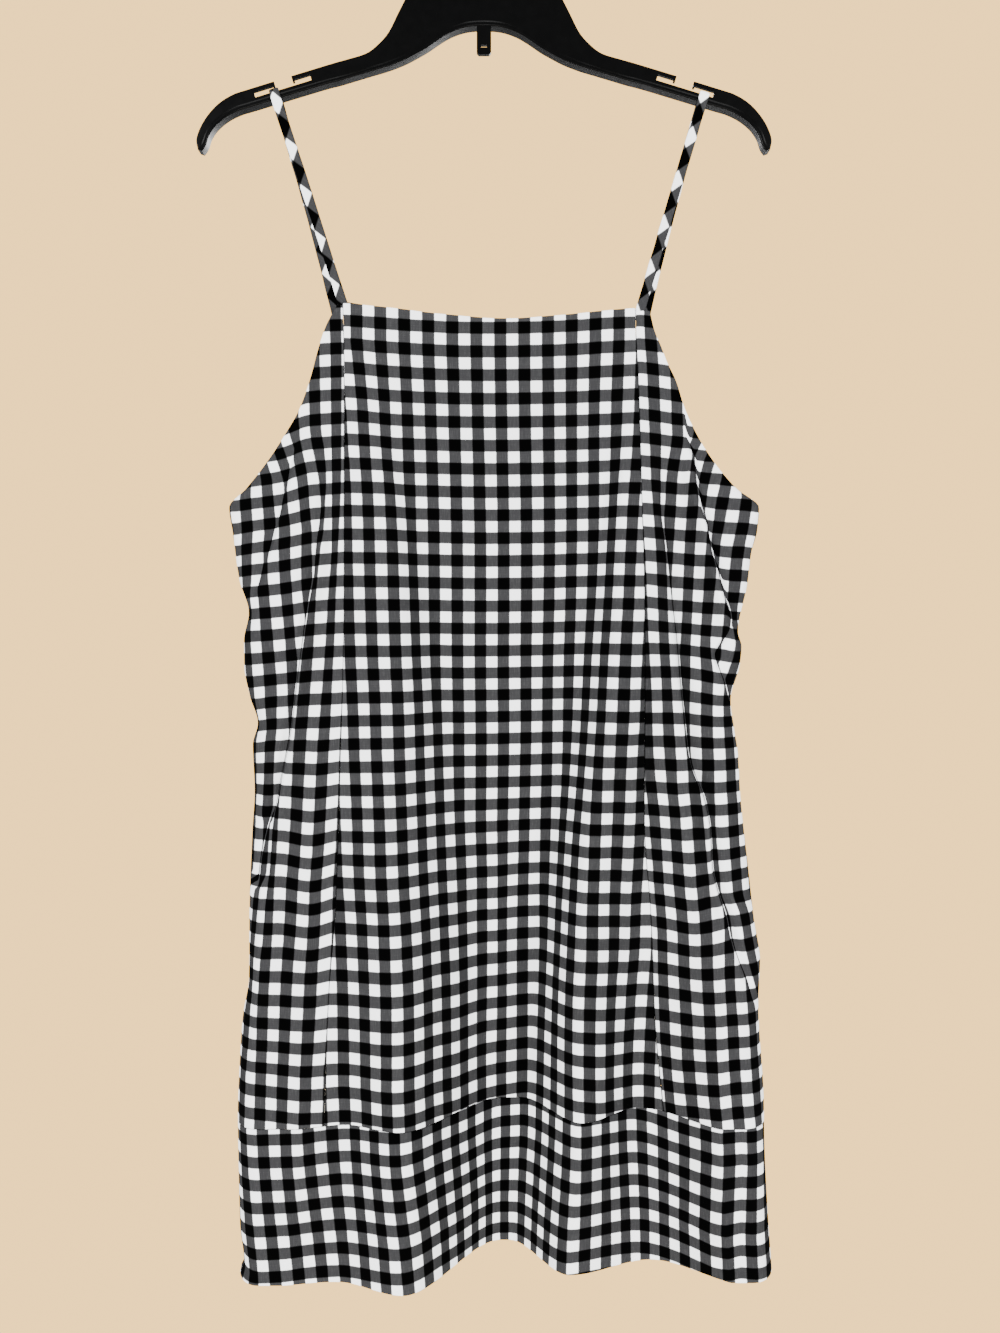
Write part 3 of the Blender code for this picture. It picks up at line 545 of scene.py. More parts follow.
@dataclass(frozen=True)
class Drape:
    """One draped surface of the dress, with the cloth turned round at its side seams."""

    facing: int
    folds: Lines
    creases: tuple[Crease, ...] = ()
    tucks: tuple[Tuck, ...] = ()
    puckers: tuple[Pucker, ...] = ()
    turn_width: float = 20.0
    turn_starts: float = 62.0
    seam_closes: float = 25.0
    side_cloth: float = 1.5
    swell: float = 0.55
    swell_size: float = 46.0
    # the swells are about twice as long down the cloth as across it
    swell_squeeze: float = 0.55
    crumple: float = 0.16
    crumple_size: float = 17.0
    noise_seed: int = 11

    def smooth_depth(self, across: np.ndarray, drop: np.ndarray) -> np.ndarray:
        """Give the large form's depth, for places given as across and drop."""
        depth = self.folds(across, drop)
        for crease in self.creases:
            depth = depth + crease(across, drop)
        return self.turned(depth, across, drop)

    def turned(self, depth: np.ndarray, across: np.ndarray, drop: np.ndarray) -> np.ndarray:
        """Bring the cloth round to the side seam near either outline.

        Args:
            depth: Depth of the cloth before it turns.
            across: Places across.
            drop: Their drops.

        Returns:
            The depth of the turned cloth.
        """
        inside = np.minimum(across - LEFT_EDGE(drop), RIGHT_EDGE(drop) - across)
        short = 1.0 - np.clip(inside / self.turn_width, 0.0, 1.0)
        open_seam = 1.0 - ease((drop - UNDERARM_DROP) / self.seam_closes)
        side = self.facing * (SEAM_GAP / 2 + self.side_cloth * open_seam)
        rounded = side + (depth - side) * np.sqrt(1.0 - short ** 2)
        return blend(depth, rounded, ease((drop - UNDERARM_DROP + self.turn_starts) / self.turn_starts))

    def fine_depth(self, across: np.ndarray, drop: np.ndarray) -> np.ndarray:
        """Give the sharp folds, the soft unevenness and the puckers at each place.

        Args:
            across: Places across.
            drop: Their drops.

        Returns:
            Depth to add to the large form.
        """
        squeezed = self.swell_squeeze * drop
        relief = self.swell * soft_noise(across, squeezed, self.swell_size, self.noise_seed)
        relief = relief + self.crumple * soft_noise(across, drop, self.crumple_size, self.noise_seed + 1)
        for tuck in self.tucks:
            relief = relief + tuck.relief(across, drop)
        for seam, pucker in zip((LEFT_SEAM, RIGHT_SEAM), self.puckers):
            relief = relief + pucker(drop, across - seam(drop))
        if self.puckers:
            relief = relief + self.puckers[-1](across, drop - BAND_SEAM_DROP)
        inside = np.minimum(across - LEFT_EDGE(drop), RIGHT_EDGE(drop) - across)
        return relief * np.clip(inside / (0.5 * self.turn_width), 0.0, 1.0)

    def points(self, across: np.ndarray, drop: np.ndarray) -> np.ndarray:
        """Give the surface's points.

        Args:
            across: Places across, as a grid.
            drop: Their drops.

        Returns:
            A grid of points in millimetres.
        """
        depth = self.smooth_depth(across, drop) + self.fine_depth(across, drop)
        return np.stack((across, depth, -drop), axis=-1)


def arc_along_rows(drape: Drape, across: np.ndarray, drop: np.ndarray) -> np.ndarray:
    """Measure the cloth along each level row of a grid.

    Args:
        drape: The surface that the cloth follows.
        across: Places across, as a grid.
        drop: Their drops.

    Returns:
        The length from each row's first column, in millimetres.
    """
    depth = drape.smooth_depth(across, drop)
    step = np.hypot(np.diff(across, axis=1), np.diff(depth, axis=1))
    return np.concatenate((np.zeros((len(across), 1)), np.cumsum(step, axis=1)), axis=1)


def arc_at(arc: np.ndarray, across: np.ndarray, place: np.ndarray) -> np.ndarray:
    """Read each row's measured length at one place across.

    Args:
        arc: Lengths along the rows.
        across: Places across of the same grid, rising or falling.
        place: One place for each row.

    Returns:
        One length for each row, as a column.
    """
    rising = across[0, -1] > across[0, 0]
    rows = [np.interp(at, x if rising else x[::-1], length if rising else length[::-1])
            for at, x, length in zip(place, across, arc)]
    return np.array(rows)[:, None]


def unit(vectors: np.ndarray) -> np.ndarray:
    """Scale an array of vectors to length one."""
    return vectors / np.maximum(np.linalg.norm(vectors, axis=-1, keepdims=True), TINY)


def grid_normals(points: np.ndarray, facing: int) -> np.ndarray:
    """Find the outward normals of a grid of points.

    Args:
        points: The grid.
        facing: Minus one for a surface seen from the front, one for the back.

    Returns:
        One unit vector for each point.
    """
    normals = unit(np.cross(np.gradient(points, axis=1), np.gradient(points, axis=0)))
    middle = normals[len(points) // 2, points.shape[1] // 2]
    return normals if middle[1] * facing > 0 else -normals


@dataclass(frozen=True)
class Hem:
    """An edge of a panel that is rolled round and turned under.

    Last is the share of the edge, from its start, that is turned.  Depth counts the
    grid's cells that the turned part covers.
    """

    edge: Edge
    depth: int
    last: float = 1.0
    radius: float = 0.5
    roll_steps: int = 4


@dataclass
class ClothShell:
    """A panel of cloth as one thin shell over a grid of points, with its hems turned under."""

    name: str
    points: np.ndarray
    check: np.ndarray
    facing: int
    hems: tuple[Hem, ...]
    thickness: float = 0.4
    vertices: list = field(default_factory=list)
    uvs: list = field(default_factory=list)
    faces: list = field(default_factory=list)

    def add_rows(self, index: np.ndarray) -> None:
        """Add a face between each four neighbours of a grid of vertex numbers."""
        a, b = index[:-1, :-1].ravel(), index[:-1, 1:].ravel()
        c, d = index[1:, :-1].ravel(), index[1:, 1:].ravel()
        self.faces.append(np.stack((a, b, d, c), axis=1))

    def add_hem(self, hem: Hem, normals: np.ndarray, index: np.ndarray) -> None:
        """Roll one edge round and lay the cloth back under the panel.

        Args:
            hem: Which edge, and how much of it.
            normals: Outward normals of the panel's grid.
            index: Vertex numbers of the panel's grid.
        """
        grids = [self.points, normals, self.check, index]
        if hem.edge in (Edge.LEFT, Edge.RIGHT):
            grids = [np.swapaxes(grid, 0, 1) for grid in grids]
        if hem.edge in (Edge.BOTTOM, Edge.RIGHT):
            grids = [grid[::-1] for grid in grids]
        last = round(hem.last * (grids[0].shape[1] - 1)) + 1
        line, normal, check, number = (grid[:, :last] for grid in grids)
        off = unit(line[0] - line[1])
        reach = np.linalg.norm(line[0] - line[2], axis=1, keepdims=True)
        check_rate = (check[0] - check[2]) / np.maximum(reach, TINY)
        strip, strip_check = [], []
        for k in range(1, hem.roll_steps + 1):
            turn = math.pi * k / hem.roll_steps
            strip.append(line[0] + off * hem.radius * math.sin(turn)
                         - normal[0] * hem.radius * (1 - math.cos(turn)))
            strip_check.append(check[0] + check_rate * hem.radius * turn)
        inward = np.linalg.norm(np.diff(line[:hem.depth + 1], axis=0), axis=2).cumsum(axis=0)
        for k in range(1, hem.depth + 1):
            strip.append(line[k] - normal[k] * 2 * hem.radius)
            length = inward[k - 1][:, None] + math.pi * hem.radius
            strip_check.append(check[0] + check_rate * length)
        start = sum(len(block) for block in self.vertices)
        size = (len(strip), line.shape[1])
        self.vertices.append(np.stack(strip).reshape(-1, 3))
        self.uvs.append(np.stack(strip_check).reshape(-1, 2))
        self.add_rows(np.concatenate((number[:1], start + np.arange(size[0] * size[1]).reshape(size))))

    def build(self) -> Object:
        """Make the panel's object, with its wall inside the panel's outer face.

        Returns:
            The new object, with the check's coordinates in its UV map.
        """
        normals = grid_normals(self.points, self.facing)
        rows, columns = self.points.shape[:2]
        index = np.arange(rows * columns).reshape(rows, columns)
        self.vertices.append(self.points.reshape(-1, 3))
        self.uvs.append(self.check.reshape(-1, 2))
        self.add_rows(index)
        for hem in self.hems:
            self.add_hem(hem, normals, index)
        faces = np.concatenate(self.faces)
        mesh = bpy.data.meshes.new(self.name)
        mesh.from_pydata(np.concatenate(self.vertices) * MM, [], faces.tolist())
        turn_faces_outward(mesh, Vector((0.0, self.facing, 0.0)), rows * columns // 2)
        corners = np.zeros(len(mesh.loops), int)
        mesh.loops.foreach_get("vertex_index", corners)
        layer = mesh.uv_layers.new(name=UV_NAME)
        layer.data.foreach_set("uv", np.concatenate(self.uvs)[corners].ravel())
        mesh.shade_smooth()
        piece = placed(mesh)
        wall = piece.modifiers.new("wall", "SOLIDIFY")
        wall.thickness = self.thickness * MM
        wall.offset = -1.0
        return piece


def turn_faces_outward(mesh: Mesh, outward: Vector, face: int) -> None:
    """Give an open sheet's faces one direction, with one face as the guide.

    Args:
        mesh: The sheet.
        outward: The way that the guide face has to point.
        face: Number of the guide face.
    """
    shape = bmesh.new()
    shape.from_mesh(mesh)
    bmesh.ops.recalc_face_normals(shape, faces=shape.faces)
    shape.faces.ensure_lookup_table()
    if shape.faces[face].normal.dot(outward) < 0.0:
        bmesh.ops.reverse_faces(shape, faces=shape.faces)
    shape.to_mesh(mesh)
    shape.free()


def spaced(start: float, end: float, cell: float) -> np.ndarray:
    """Give even places from start to end, about one cell apart."""
    return np.linspace(start, end, max(2, round(abs(end - start) / cell) + 1))


def crowded(share: np.ndarray, amount: float) -> np.ndarray:
    """Crowd shares from 0 to 1 towards both ends by an amount from 0 to 1."""
    return blend(share, 0.5 - 0.5 * np.cos(math.pi * share), amount)


def shares_across(cell: float) -> np.ndarray:
    """Give shares from side seam to side seam, about a cell apart and closer at the seams."""
    return crowded(spaced(0.0, 1.0, cell / NOMINAL_WIDTH), SIDE_CROWDING)[None, :]


def armhole_share(drop: np.ndarray) -> np.ndarray:
    """Give 1 beside the armholes and 0 below the underarm, with a soft change between."""
    return 1.0 - ease((drop - UNDERARM_DROP + UNDERARM_EASE) / UNDERARM_EASE)


@dataclass
class DressFront:
    """The centre front between its princess seams, and the two side fronts."""

    drape: Drape
    finish: Material
    cell: float = 2.4
    roll: float = 0.5
    seam_roll: float = 0.9
    seam_allowance: int = 4
    # where a side front is narrower than its full width, the room at its sharp folds shrinks
    full_width: float = 40.0
    least_strip: float = 2.0
    crowding: float = 0.8
    # drop where the centre's columns are spaced evenly
    even_drop: float = 600.0
    flat_centre: tuple[float, float] = (0.33, 0.645)
    flat_side: tuple[float, float] = (0.105, 0.625)

    def centre(self) -> Object:
        """Build the centre front.

        Returns:
            The finished piece.
        """
        middle = spaced(LEFT_SEAM(self.even_drop), RIGHT_SEAM(self.even_drop), self.cell)
        share = (middle - middle[0]) / (middle[-1] - middle[0])
        neck_corner = 345.0
        guess = blend(LEFT_SEAM(neck_corner), RIGHT_SEAM(neck_corner), share)
        top = NECK_EDGE(guess) + self.roll
        bottom = BAND_SEAM_DROP - SEAM_GAP / 2 - self.roll
        down = spaced(0.0, 1.0, self.cell / (bottom - top.min()))[:, None]
        drop = blend(top[None, :], bottom, down)
        inset = SEAM_GAP / 2 + self.seam_roll
        across = blend(LEFT_SEAM(drop) + inset, RIGHT_SEAM(drop) - inset, share[None, :])
        arc = arc_along_rows(self.drape, across, drop)
        origin = arc_at(arc, across, MIDDLE_THREAD(drop[:, len(share) // 2]))
        columns = (arc - origin) / REPEAT_ACROSS - CENTRE_DRIFT.sideways(across, drop)
        check = np.stack((columns, ROW_COUNT(drop - CENTRE_DRIFT.down(across, drop))), axis=-1)
        seam = {"depth": self.seam_allowance, "radius": self.seam_roll}
        hems = (Hem(Edge.TOP, self.seam_allowance), Hem(Edge.BOTTOM, self.seam_allowance),
                Hem(Edge.LEFT, **seam), Hem(Edge.RIGHT, **seam))
        shell = ClothShell("front_centre_cloth", self.drape.points(across, drop), check, -1, hems)
        return dressed_sheet(shell.build(), self.finish, "front_centre")

    def side_columns(self, plan: SidePlan, drop: np.ndarray) -> np.ndarray:
        """Place a side front's columns so that some follow each sharp fold.

        Args:
            plan: Which side front.
            drop: Drops of the rows, one dimension.

        Returns:
            A grid of places across, from the princess seam outward.
        """
        start = plan.seam(drop) + plan.sign * (SEAM_GAP / 2 + self.seam_roll)
        end = plan.edge(drop) - plan.sign * self.roll * armhole_share(drop)
        width = plan.sign * (end - start)
        scale = np.minimum(width / self.full_width, 1.0)
        stops = [np.zeros_like(width)]
        for tuck, room in zip(plan.tucks, plan.rooms):
            place = np.minimum(plan.sign * (tuck.column(1)(drop) - start), width - room * scale)
            stops.append(np.maximum(place, stops[-1] + self.least_strip * scale))
        stops.append(width)
        columns = [np.zeros((len(drop), 1))]
        for before, after, count in zip(stops, stops[1:], plan.cells):
            share = crowded(np.arange(1, count + 1) / count, self.crowding)
            columns.append(before[:, None] + (after - before)[:, None] * share[None, :])
        return start[:, None] + plan.sign * np.concatenate(columns, axis=1)

    def side(self, plan: SidePlan) -> Object:
        """Build one side front.

        Args:
            plan: Which side front.

        Returns:
            The finished piece.
        """
        bottom = BAND_SEAM_DROP - SEAM_GAP / 2 - self.roll
        rows = spaced(plan.top_drop + self.roll, bottom, self.cell)
        across = self.side_columns(plan, rows)
        drop = np.repeat(rows[:, None], across.shape[1], axis=1)
        arc = arc_along_rows(self.drape, across, drop) + SEAM_GAP / 2 + self.seam_roll
        threads = arc / REPEAT_ACROSS
        for tuck in plan.tucks:
            threads = threads + tuck.taken_up(across, drop)
        columns = plan.seam_count(drop) + plan.sign * threads - plan.drift.sideways(across, drop)
        fall = plan.sag(across, drop) + plan.drift.down(across, drop)
        check = np.stack((columns, ROW_COUNT(drop - fall)), axis=-1)
        armhole = (UNDERARM_DROP - rows[0]) / (rows[-1] - rows[0])
        hems = (Hem(Edge.LEFT, self.seam_allowance * 2, radius=self.seam_roll),
                Hem(Edge.RIGHT, self.seam_allowance * 2, last=armhole),
                Hem(Edge.BOTTOM, self.seam_allowance), Hem(Edge.TOP, 2))
        shell = ClothShell(f"{plan.node}_cloth", self.drape.points(across, drop), check, -1, hems)
        return dressed_sheet(shell.build(), self.finish, plan.node)

    def build(self) -> list[Object]:
        """Build the front's three panels."""
        return [self.centre(), self.side(LEFT_SIDE), self.side(RIGHT_SIDE)]


def dressed_sheet(piece: Object, finish: Material, node: str) -> Object:
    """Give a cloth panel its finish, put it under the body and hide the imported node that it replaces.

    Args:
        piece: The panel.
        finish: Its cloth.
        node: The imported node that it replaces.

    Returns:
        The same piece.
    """
    piece.data.materials.append(finish)
    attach(piece, BODY)
    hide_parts(node)
    return piece


@dataclass
class DressBack:
    """The back in one panel."""

    drape: Drape
    finish: Material
    cell: float = 3.0
    roll: float = 0.5
    seam_allowance: int = 3
    flat: tuple[float, float] = (0.44, 0.62)

    def build(self) -> list[Object]:
        """Build the back, with its armholes cut a little deeper than the front's."""
        rows = spaced(BACK_TOP_DROP + self.roll, BAND_SEAM_DROP - SEAM_GAP / 2 - self.roll, self.cell)
        drop = rows[:, None]
        inset = BACK_INSET(drop) + self.roll * armhole_share(drop)
        across = blend(LEFT_EDGE(drop) + inset, RIGHT_EDGE(drop) - inset, shares_across(self.cell))
        drop = np.repeat(drop, across.shape[1], axis=1)
        arc = arc_along_rows(self.drape, across, drop)
        origin = arc_at(arc, across, MIDDLE_THREAD(rows))
        check = np.stack(((arc - origin) / REPEAT_ACROSS, ROW_COUNT(drop)), axis=-1)
        last = (UNDERARM_DROP - rows[0]) / (rows[-1] - rows[0])
        hems = (Hem(Edge.TOP, self.seam_allowance), Hem(Edge.BOTTOM, self.seam_allowance),
                Hem(Edge.LEFT, 2 * self.seam_allowance, last=last),
                Hem(Edge.RIGHT, 2 * self.seam_allowance, last=last))
        shell = ClothShell("back_cloth", self.drape.points(across, drop), check, 1, hems)
        return [dressed_sheet(shell.build(), self.finish, "back")]


@dataclass
class HemBand:
    """The deep band at the hem, in a front and a back half."""

    front: Drape
    back: Drape
    finish: Material
    cell: float = 2.2
    roll: float = 0.7
    seam_allowance: int = 4
    turn_up: int = 9
    middle_thread: float = 16.2
    flat_front: tuple[float, float] = (0.50, 0.145)
    flat_back: tuple[float, float] = (0.47, 0.145)

    def half(self, name: str, node: str, drape: Drape, flat: tuple[float, float]) -> Object:
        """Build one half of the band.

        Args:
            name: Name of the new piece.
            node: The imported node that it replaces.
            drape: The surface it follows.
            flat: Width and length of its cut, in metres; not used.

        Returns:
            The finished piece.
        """
        rows = spaced(BAND_SEAM_DROP + SEAM_GAP / 2 + self.roll, HEM_DROP - self.roll, self.cell)
        drop = rows[:, None]
        across = blend(LEFT_EDGE(drop), RIGHT_EDGE(drop), shares_across(self.cell))
        drop = np.repeat(drop, across.shape[1], axis=1)
        arc = arc_along_rows(drape, across, drop)
        origin = arc_at(arc, across, np.full(len(rows), self.middle_thread))
        columns = (arc - origin) / REPEAT_ACROSS + BAND_SHIFT(across) - BAND_DRIFT.sideways(across, drop)
        lines = (drop - BAND_SEAM_DROP - BAND_START(across) - BAND_DRIFT.down(across, drop)) / REPEAT_DOWN
        check = np.stack((columns, lines), axis=-1)
        hems = (Hem(Edge.TOP, self.seam_allowance, radius=self.roll),
                Hem(Edge.BOTTOM, self.turn_up, radius=self.roll))
        shell = ClothShell(name, drape.points(across, drop), check, drape.facing, hems)
        return dressed_sheet(shell.build(), self.finish, node)

    def build(self) -> list[Object]:
        """Build both halves of the band."""
        return [self.half("band_front_cloth", "band_front", self.front, self.flat_front),
                self.half("band_back_cloth", "band_back", self.back, self.flat_back)]


def srgb(code: str) -> tuple[float, float, float, float]:
    """Turn an sRGB hex colour into a linear one.

    Args:
        code: Colour such as "#8A8A8A".

    Returns:
        Red, green, blue and alpha.
    """
    parts = [int(code[i:i + 2], 16) / 255.0 for i in (1, 3, 5)]
    linear = [c / 12.92 if c <= 0.04045 else ((c + 0.055) / 1.055) ** 2.4 for c in parts]
    return (*linear, 1.0)


def feed(tree: NodeTree, node: Node, inputs: dict) -> None:
    """Set or link a node's inputs, given as values or output sockets by name or number."""
    for key, value in inputs.items():
        if isinstance(value, NodeSocket):
            tree.links.new(value, node.inputs[key])
        else:
            node.inputs[key].default_value = value


def add_node(tree: NodeTree, kind: str, inputs: dict | None = None, **settings: object) -> Node:
    """Add one node with its settings and links.

    Args:
        tree: The tree to add to.
        kind: The node's type.
        inputs: Values or output sockets for its inputs, by name or number.
        settings: Properties of the node.

    Returns:
        The new node.
    """
    node = tree.nodes.new(kind)
    for name, value in settings.items():
        setattr(node, name, value)
    feed(tree, node, inputs or {})
    return node


def math_node(tree: NodeTree, operation: str, *values: object) -> NodeSocket:
    """Add one calculation on numbers or sockets and give its result."""
    return add_node(tree, "ShaderNodeMath", dict(enumerate(values)), operation=operation).outputs[0]


def vector_node(tree: NodeTree, operation: str, *values: object) -> NodeSocket:
    """Add one calculation on vectors and give its result."""
    return add_node(tree, "ShaderNodeVectorMath", dict(enumerate(values)), operation=operation).outputs[0]


def noise_node(
    tree: NodeTree, place: NodeSocket, scale: float, detail: float = 2.0, roughness: float = 0.5
) -> Node:
    """Add a noise texture on the given coordinates."""
    return add_node(tree, "ShaderNodeTexNoise", {
        "Vector": place, "Scale": scale, "Detail": detail, "Roughness": roughness})


def bump_node(tree: NodeTree, height: NodeSocket, strength: float, height_mm: float) -> NodeSocket:
    """Add a bump of a height in millimetres and give its normal."""
    values = {"Strength": strength, "Distance": height_mm * MM, "Height": height}
    return add_node(tree, "ShaderNodeBump", values).outputs["Normal"]


def new_material(name: str) -> tuple[Material, NodeTree, Node]:
    """Make an empty node material.

    Args:
        name: The material's name.

    Returns:
        The material, its tree and its Principled shader, joined to the output.
    """
    material = bpy.data.materials.new(name)
    material.use_nodes = True
    tree = material.node_tree
    tree.nodes.clear()
    shader = add_node(tree, "ShaderNodeBsdfPrincipled")
    add_node(tree, "ShaderNodeOutputMaterial", {"Surface": shader.outputs["BSDF"]})
    return material, tree, shader


@dataclass(frozen=True)
class StitchRun:
    """Short stitches along a path, laid by Geometry Nodes with a little unevenness."""

    spacing: float
    length: float
    radius: float = 0.22
    seed: int = 7
    sway_degrees: float = 5.0
    sides: int = 6
    rings: int = 5

    def tree(self, thread: Material) -> NodeTree:
        """Build the node tree.

        Args:
            thread: Material of the stitches.

        Returns:
            A tree with the inputs Path, Spacing, Length, Radius, Sway and Seed.
        """
        tree = bpy.data.node_groups.new("stitch_run", "GeometryNodeTree")
        tree.interface.new_socket("Path", in_out="INPUT", socket_type="NodeSocketGeometry")
        for name in ("Spacing", "Length", "Radius", "Sway"):
            tree.interface.new_socket(name, in_out="INPUT", socket_type="NodeSocketFloat")
        tree.interface.new_socket("Seed", in_out="INPUT", socket_type="NodeSocketInt")
        tree.interface.new_socket("Stitches", in_out="OUTPUT", socket_type="NodeSocketGeometry")
        given = add_node(tree, "NodeGroupInput").outputs
        curve = add_node(tree, "GeometryNodeMeshToCurve", {"Mesh": given["Path"]})
        points = add_node(tree, "GeometryNodeCurveToPoints", {
            "Curve": curve.outputs["Curve"], "Length": given["Spacing"]}, mode="LENGTH")
        back = math_node(tree, "MULTIPLY", given["Sway"], -1.0)
        low = add_node(tree, "ShaderNodeCombineXYZ", {"X": back, "Y": back})
        high = add_node(tree, "ShaderNodeCombineXYZ", {"X": given["Sway"], "Y": given["Sway"]})
        sway = add_node(tree, "FunctionNodeRandomValue", {
            "Min": low.outputs[0], "Max": high.outputs[0], "Seed": given["Seed"]}, data_type="FLOAT_VECTOR")
        turn = add_node(tree, "FunctionNodeEulerToRotation", {"Euler": sway.outputs[0]})
        turned = add_node(tree, "FunctionNodeRotateRotation", {
            "Rotation": points.outputs["Rotation"], "Rotate By": turn.outputs[0]}, rotation_space="LOCAL")
        bead = add_node(tree, "GeometryNodeMeshUVSphere", {
            "Segments": self.sides, "Rings": self.rings, "Radius": 0.5})
        wide = math_node(tree, "MULTIPLY", given["Radius"], 2.0)
        size = add_node(tree, "ShaderNodeCombineXYZ", {"X": wide, "Y": wide, "Z": given["Length"]})
        placed = add_node(tree, "GeometryNodeInstanceOnPoints", {
            "Points": points.outputs["Points"], "Instance": bead.outputs["Mesh"],
            "Rotation": turned.outputs[0], "Scale": size.outputs[0]})
        real = add_node(tree, "GeometryNodeRealizeInstances", {"Geometry": placed.outputs[0]})
        dyed = add_node(tree, "GeometryNodeSetMaterial", {"Geometry": real.outputs[0], "Material": thread})
        add_node(tree, "NodeGroupOutput", {"Stitches": dyed.outputs[0]})
        return tree

    def lay(self, name: str, path: np.ndarray, thread: Material) -> Object:
        """Lay the stitches along one path.

        Args:
            name: The new piece's name.
            path: Points of the path in millimetres.
            thread: Material of the stitches.

        Returns:
            The finished piece, a plain mesh.
        """
        mesh = bpy.data.meshes.new(name)
        edges = [(i, i + 1) for i in range(len(path) - 1)]
        mesh.from_pydata(path * MM, edges, [])
        piece = placed(mesh)
        stitches = piece.modifiers.new("stitches", "NODES")
        stitches.node_group = self.tree(thread)
        values = {"Spacing": self.spacing * MM, "Length": self.length * MM, "Radius": self.radius * MM,
                  "Sway": math.radians(self.sway_degrees), "Seed": self.seed}
        for socket in stitches.node_group.interface.items_tree:
            if socket.name in values:
                stitches[socket.identifier] = values[socket.name]
        bake_modifiers(piece)
        piece.data.shade_smooth()
        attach(piece, BODY)
        return piece


@dataclass
class Stitching:
    """The hand-felled hem inside the band, and the stitched edge of the back's neck."""

    front: Drape
    back: Drape
    thread: Material
    hem: StitchRun = StitchRun(spacing=6.0, length=3.0)
    neck: StitchRun = StitchRun(spacing=3.2, length=2.4, radius=0.18, sway_degrees=2.0)
    hem_rise: float = 20.6
    hem_inside: float = 1.95
    neck_fall: float = 8.0
    neck_outside: float = 0.06
    side_margin: float = 9.0
    step: float = 2.0

    def path(self, drape: Drape, drop: float, offset: float) -> np.ndarray:
        """Trace a level path over one surface.

        Args:
            drape: The surface.
            drop: Drop of the path.
            offset: Distance outside the surface, minus for inside.

        Returns:
            The path's points in millimetres.
        """
        inset = self.side_margin + float(BACK_INSET(drop)) * (drape.facing > 0)
        across = spaced(float(LEFT_EDGE(drop)) + inset, float(RIGHT_EDGE(drop)) - inset, self.step)
        points = drape.points(across[None, :], np.full((1, len(across)), drop))[0]
        return points + np.array((0.0, drape.facing * offset, 0.0))

    def build(self) -> list[Object]:
        """Lay the stitches of both band halves and of the back's neck."""
        hem_drop = HEM_DROP - self.hem_rise
        front = self.path(self.front, hem_drop, -self.hem_inside)
        back = self.path(self.back, hem_drop, -self.hem_inside)
        neck = self.path(self.back, BACK_TOP_DROP + self.neck_fall, self.neck_outside)
        return [self.hem.lay("hem_stitches_front", front, self.thread),
                self.hem.lay("hem_stitches_back", back, self.thread),
                self.neck.lay("neck_stitches_back", neck, self.thread)]


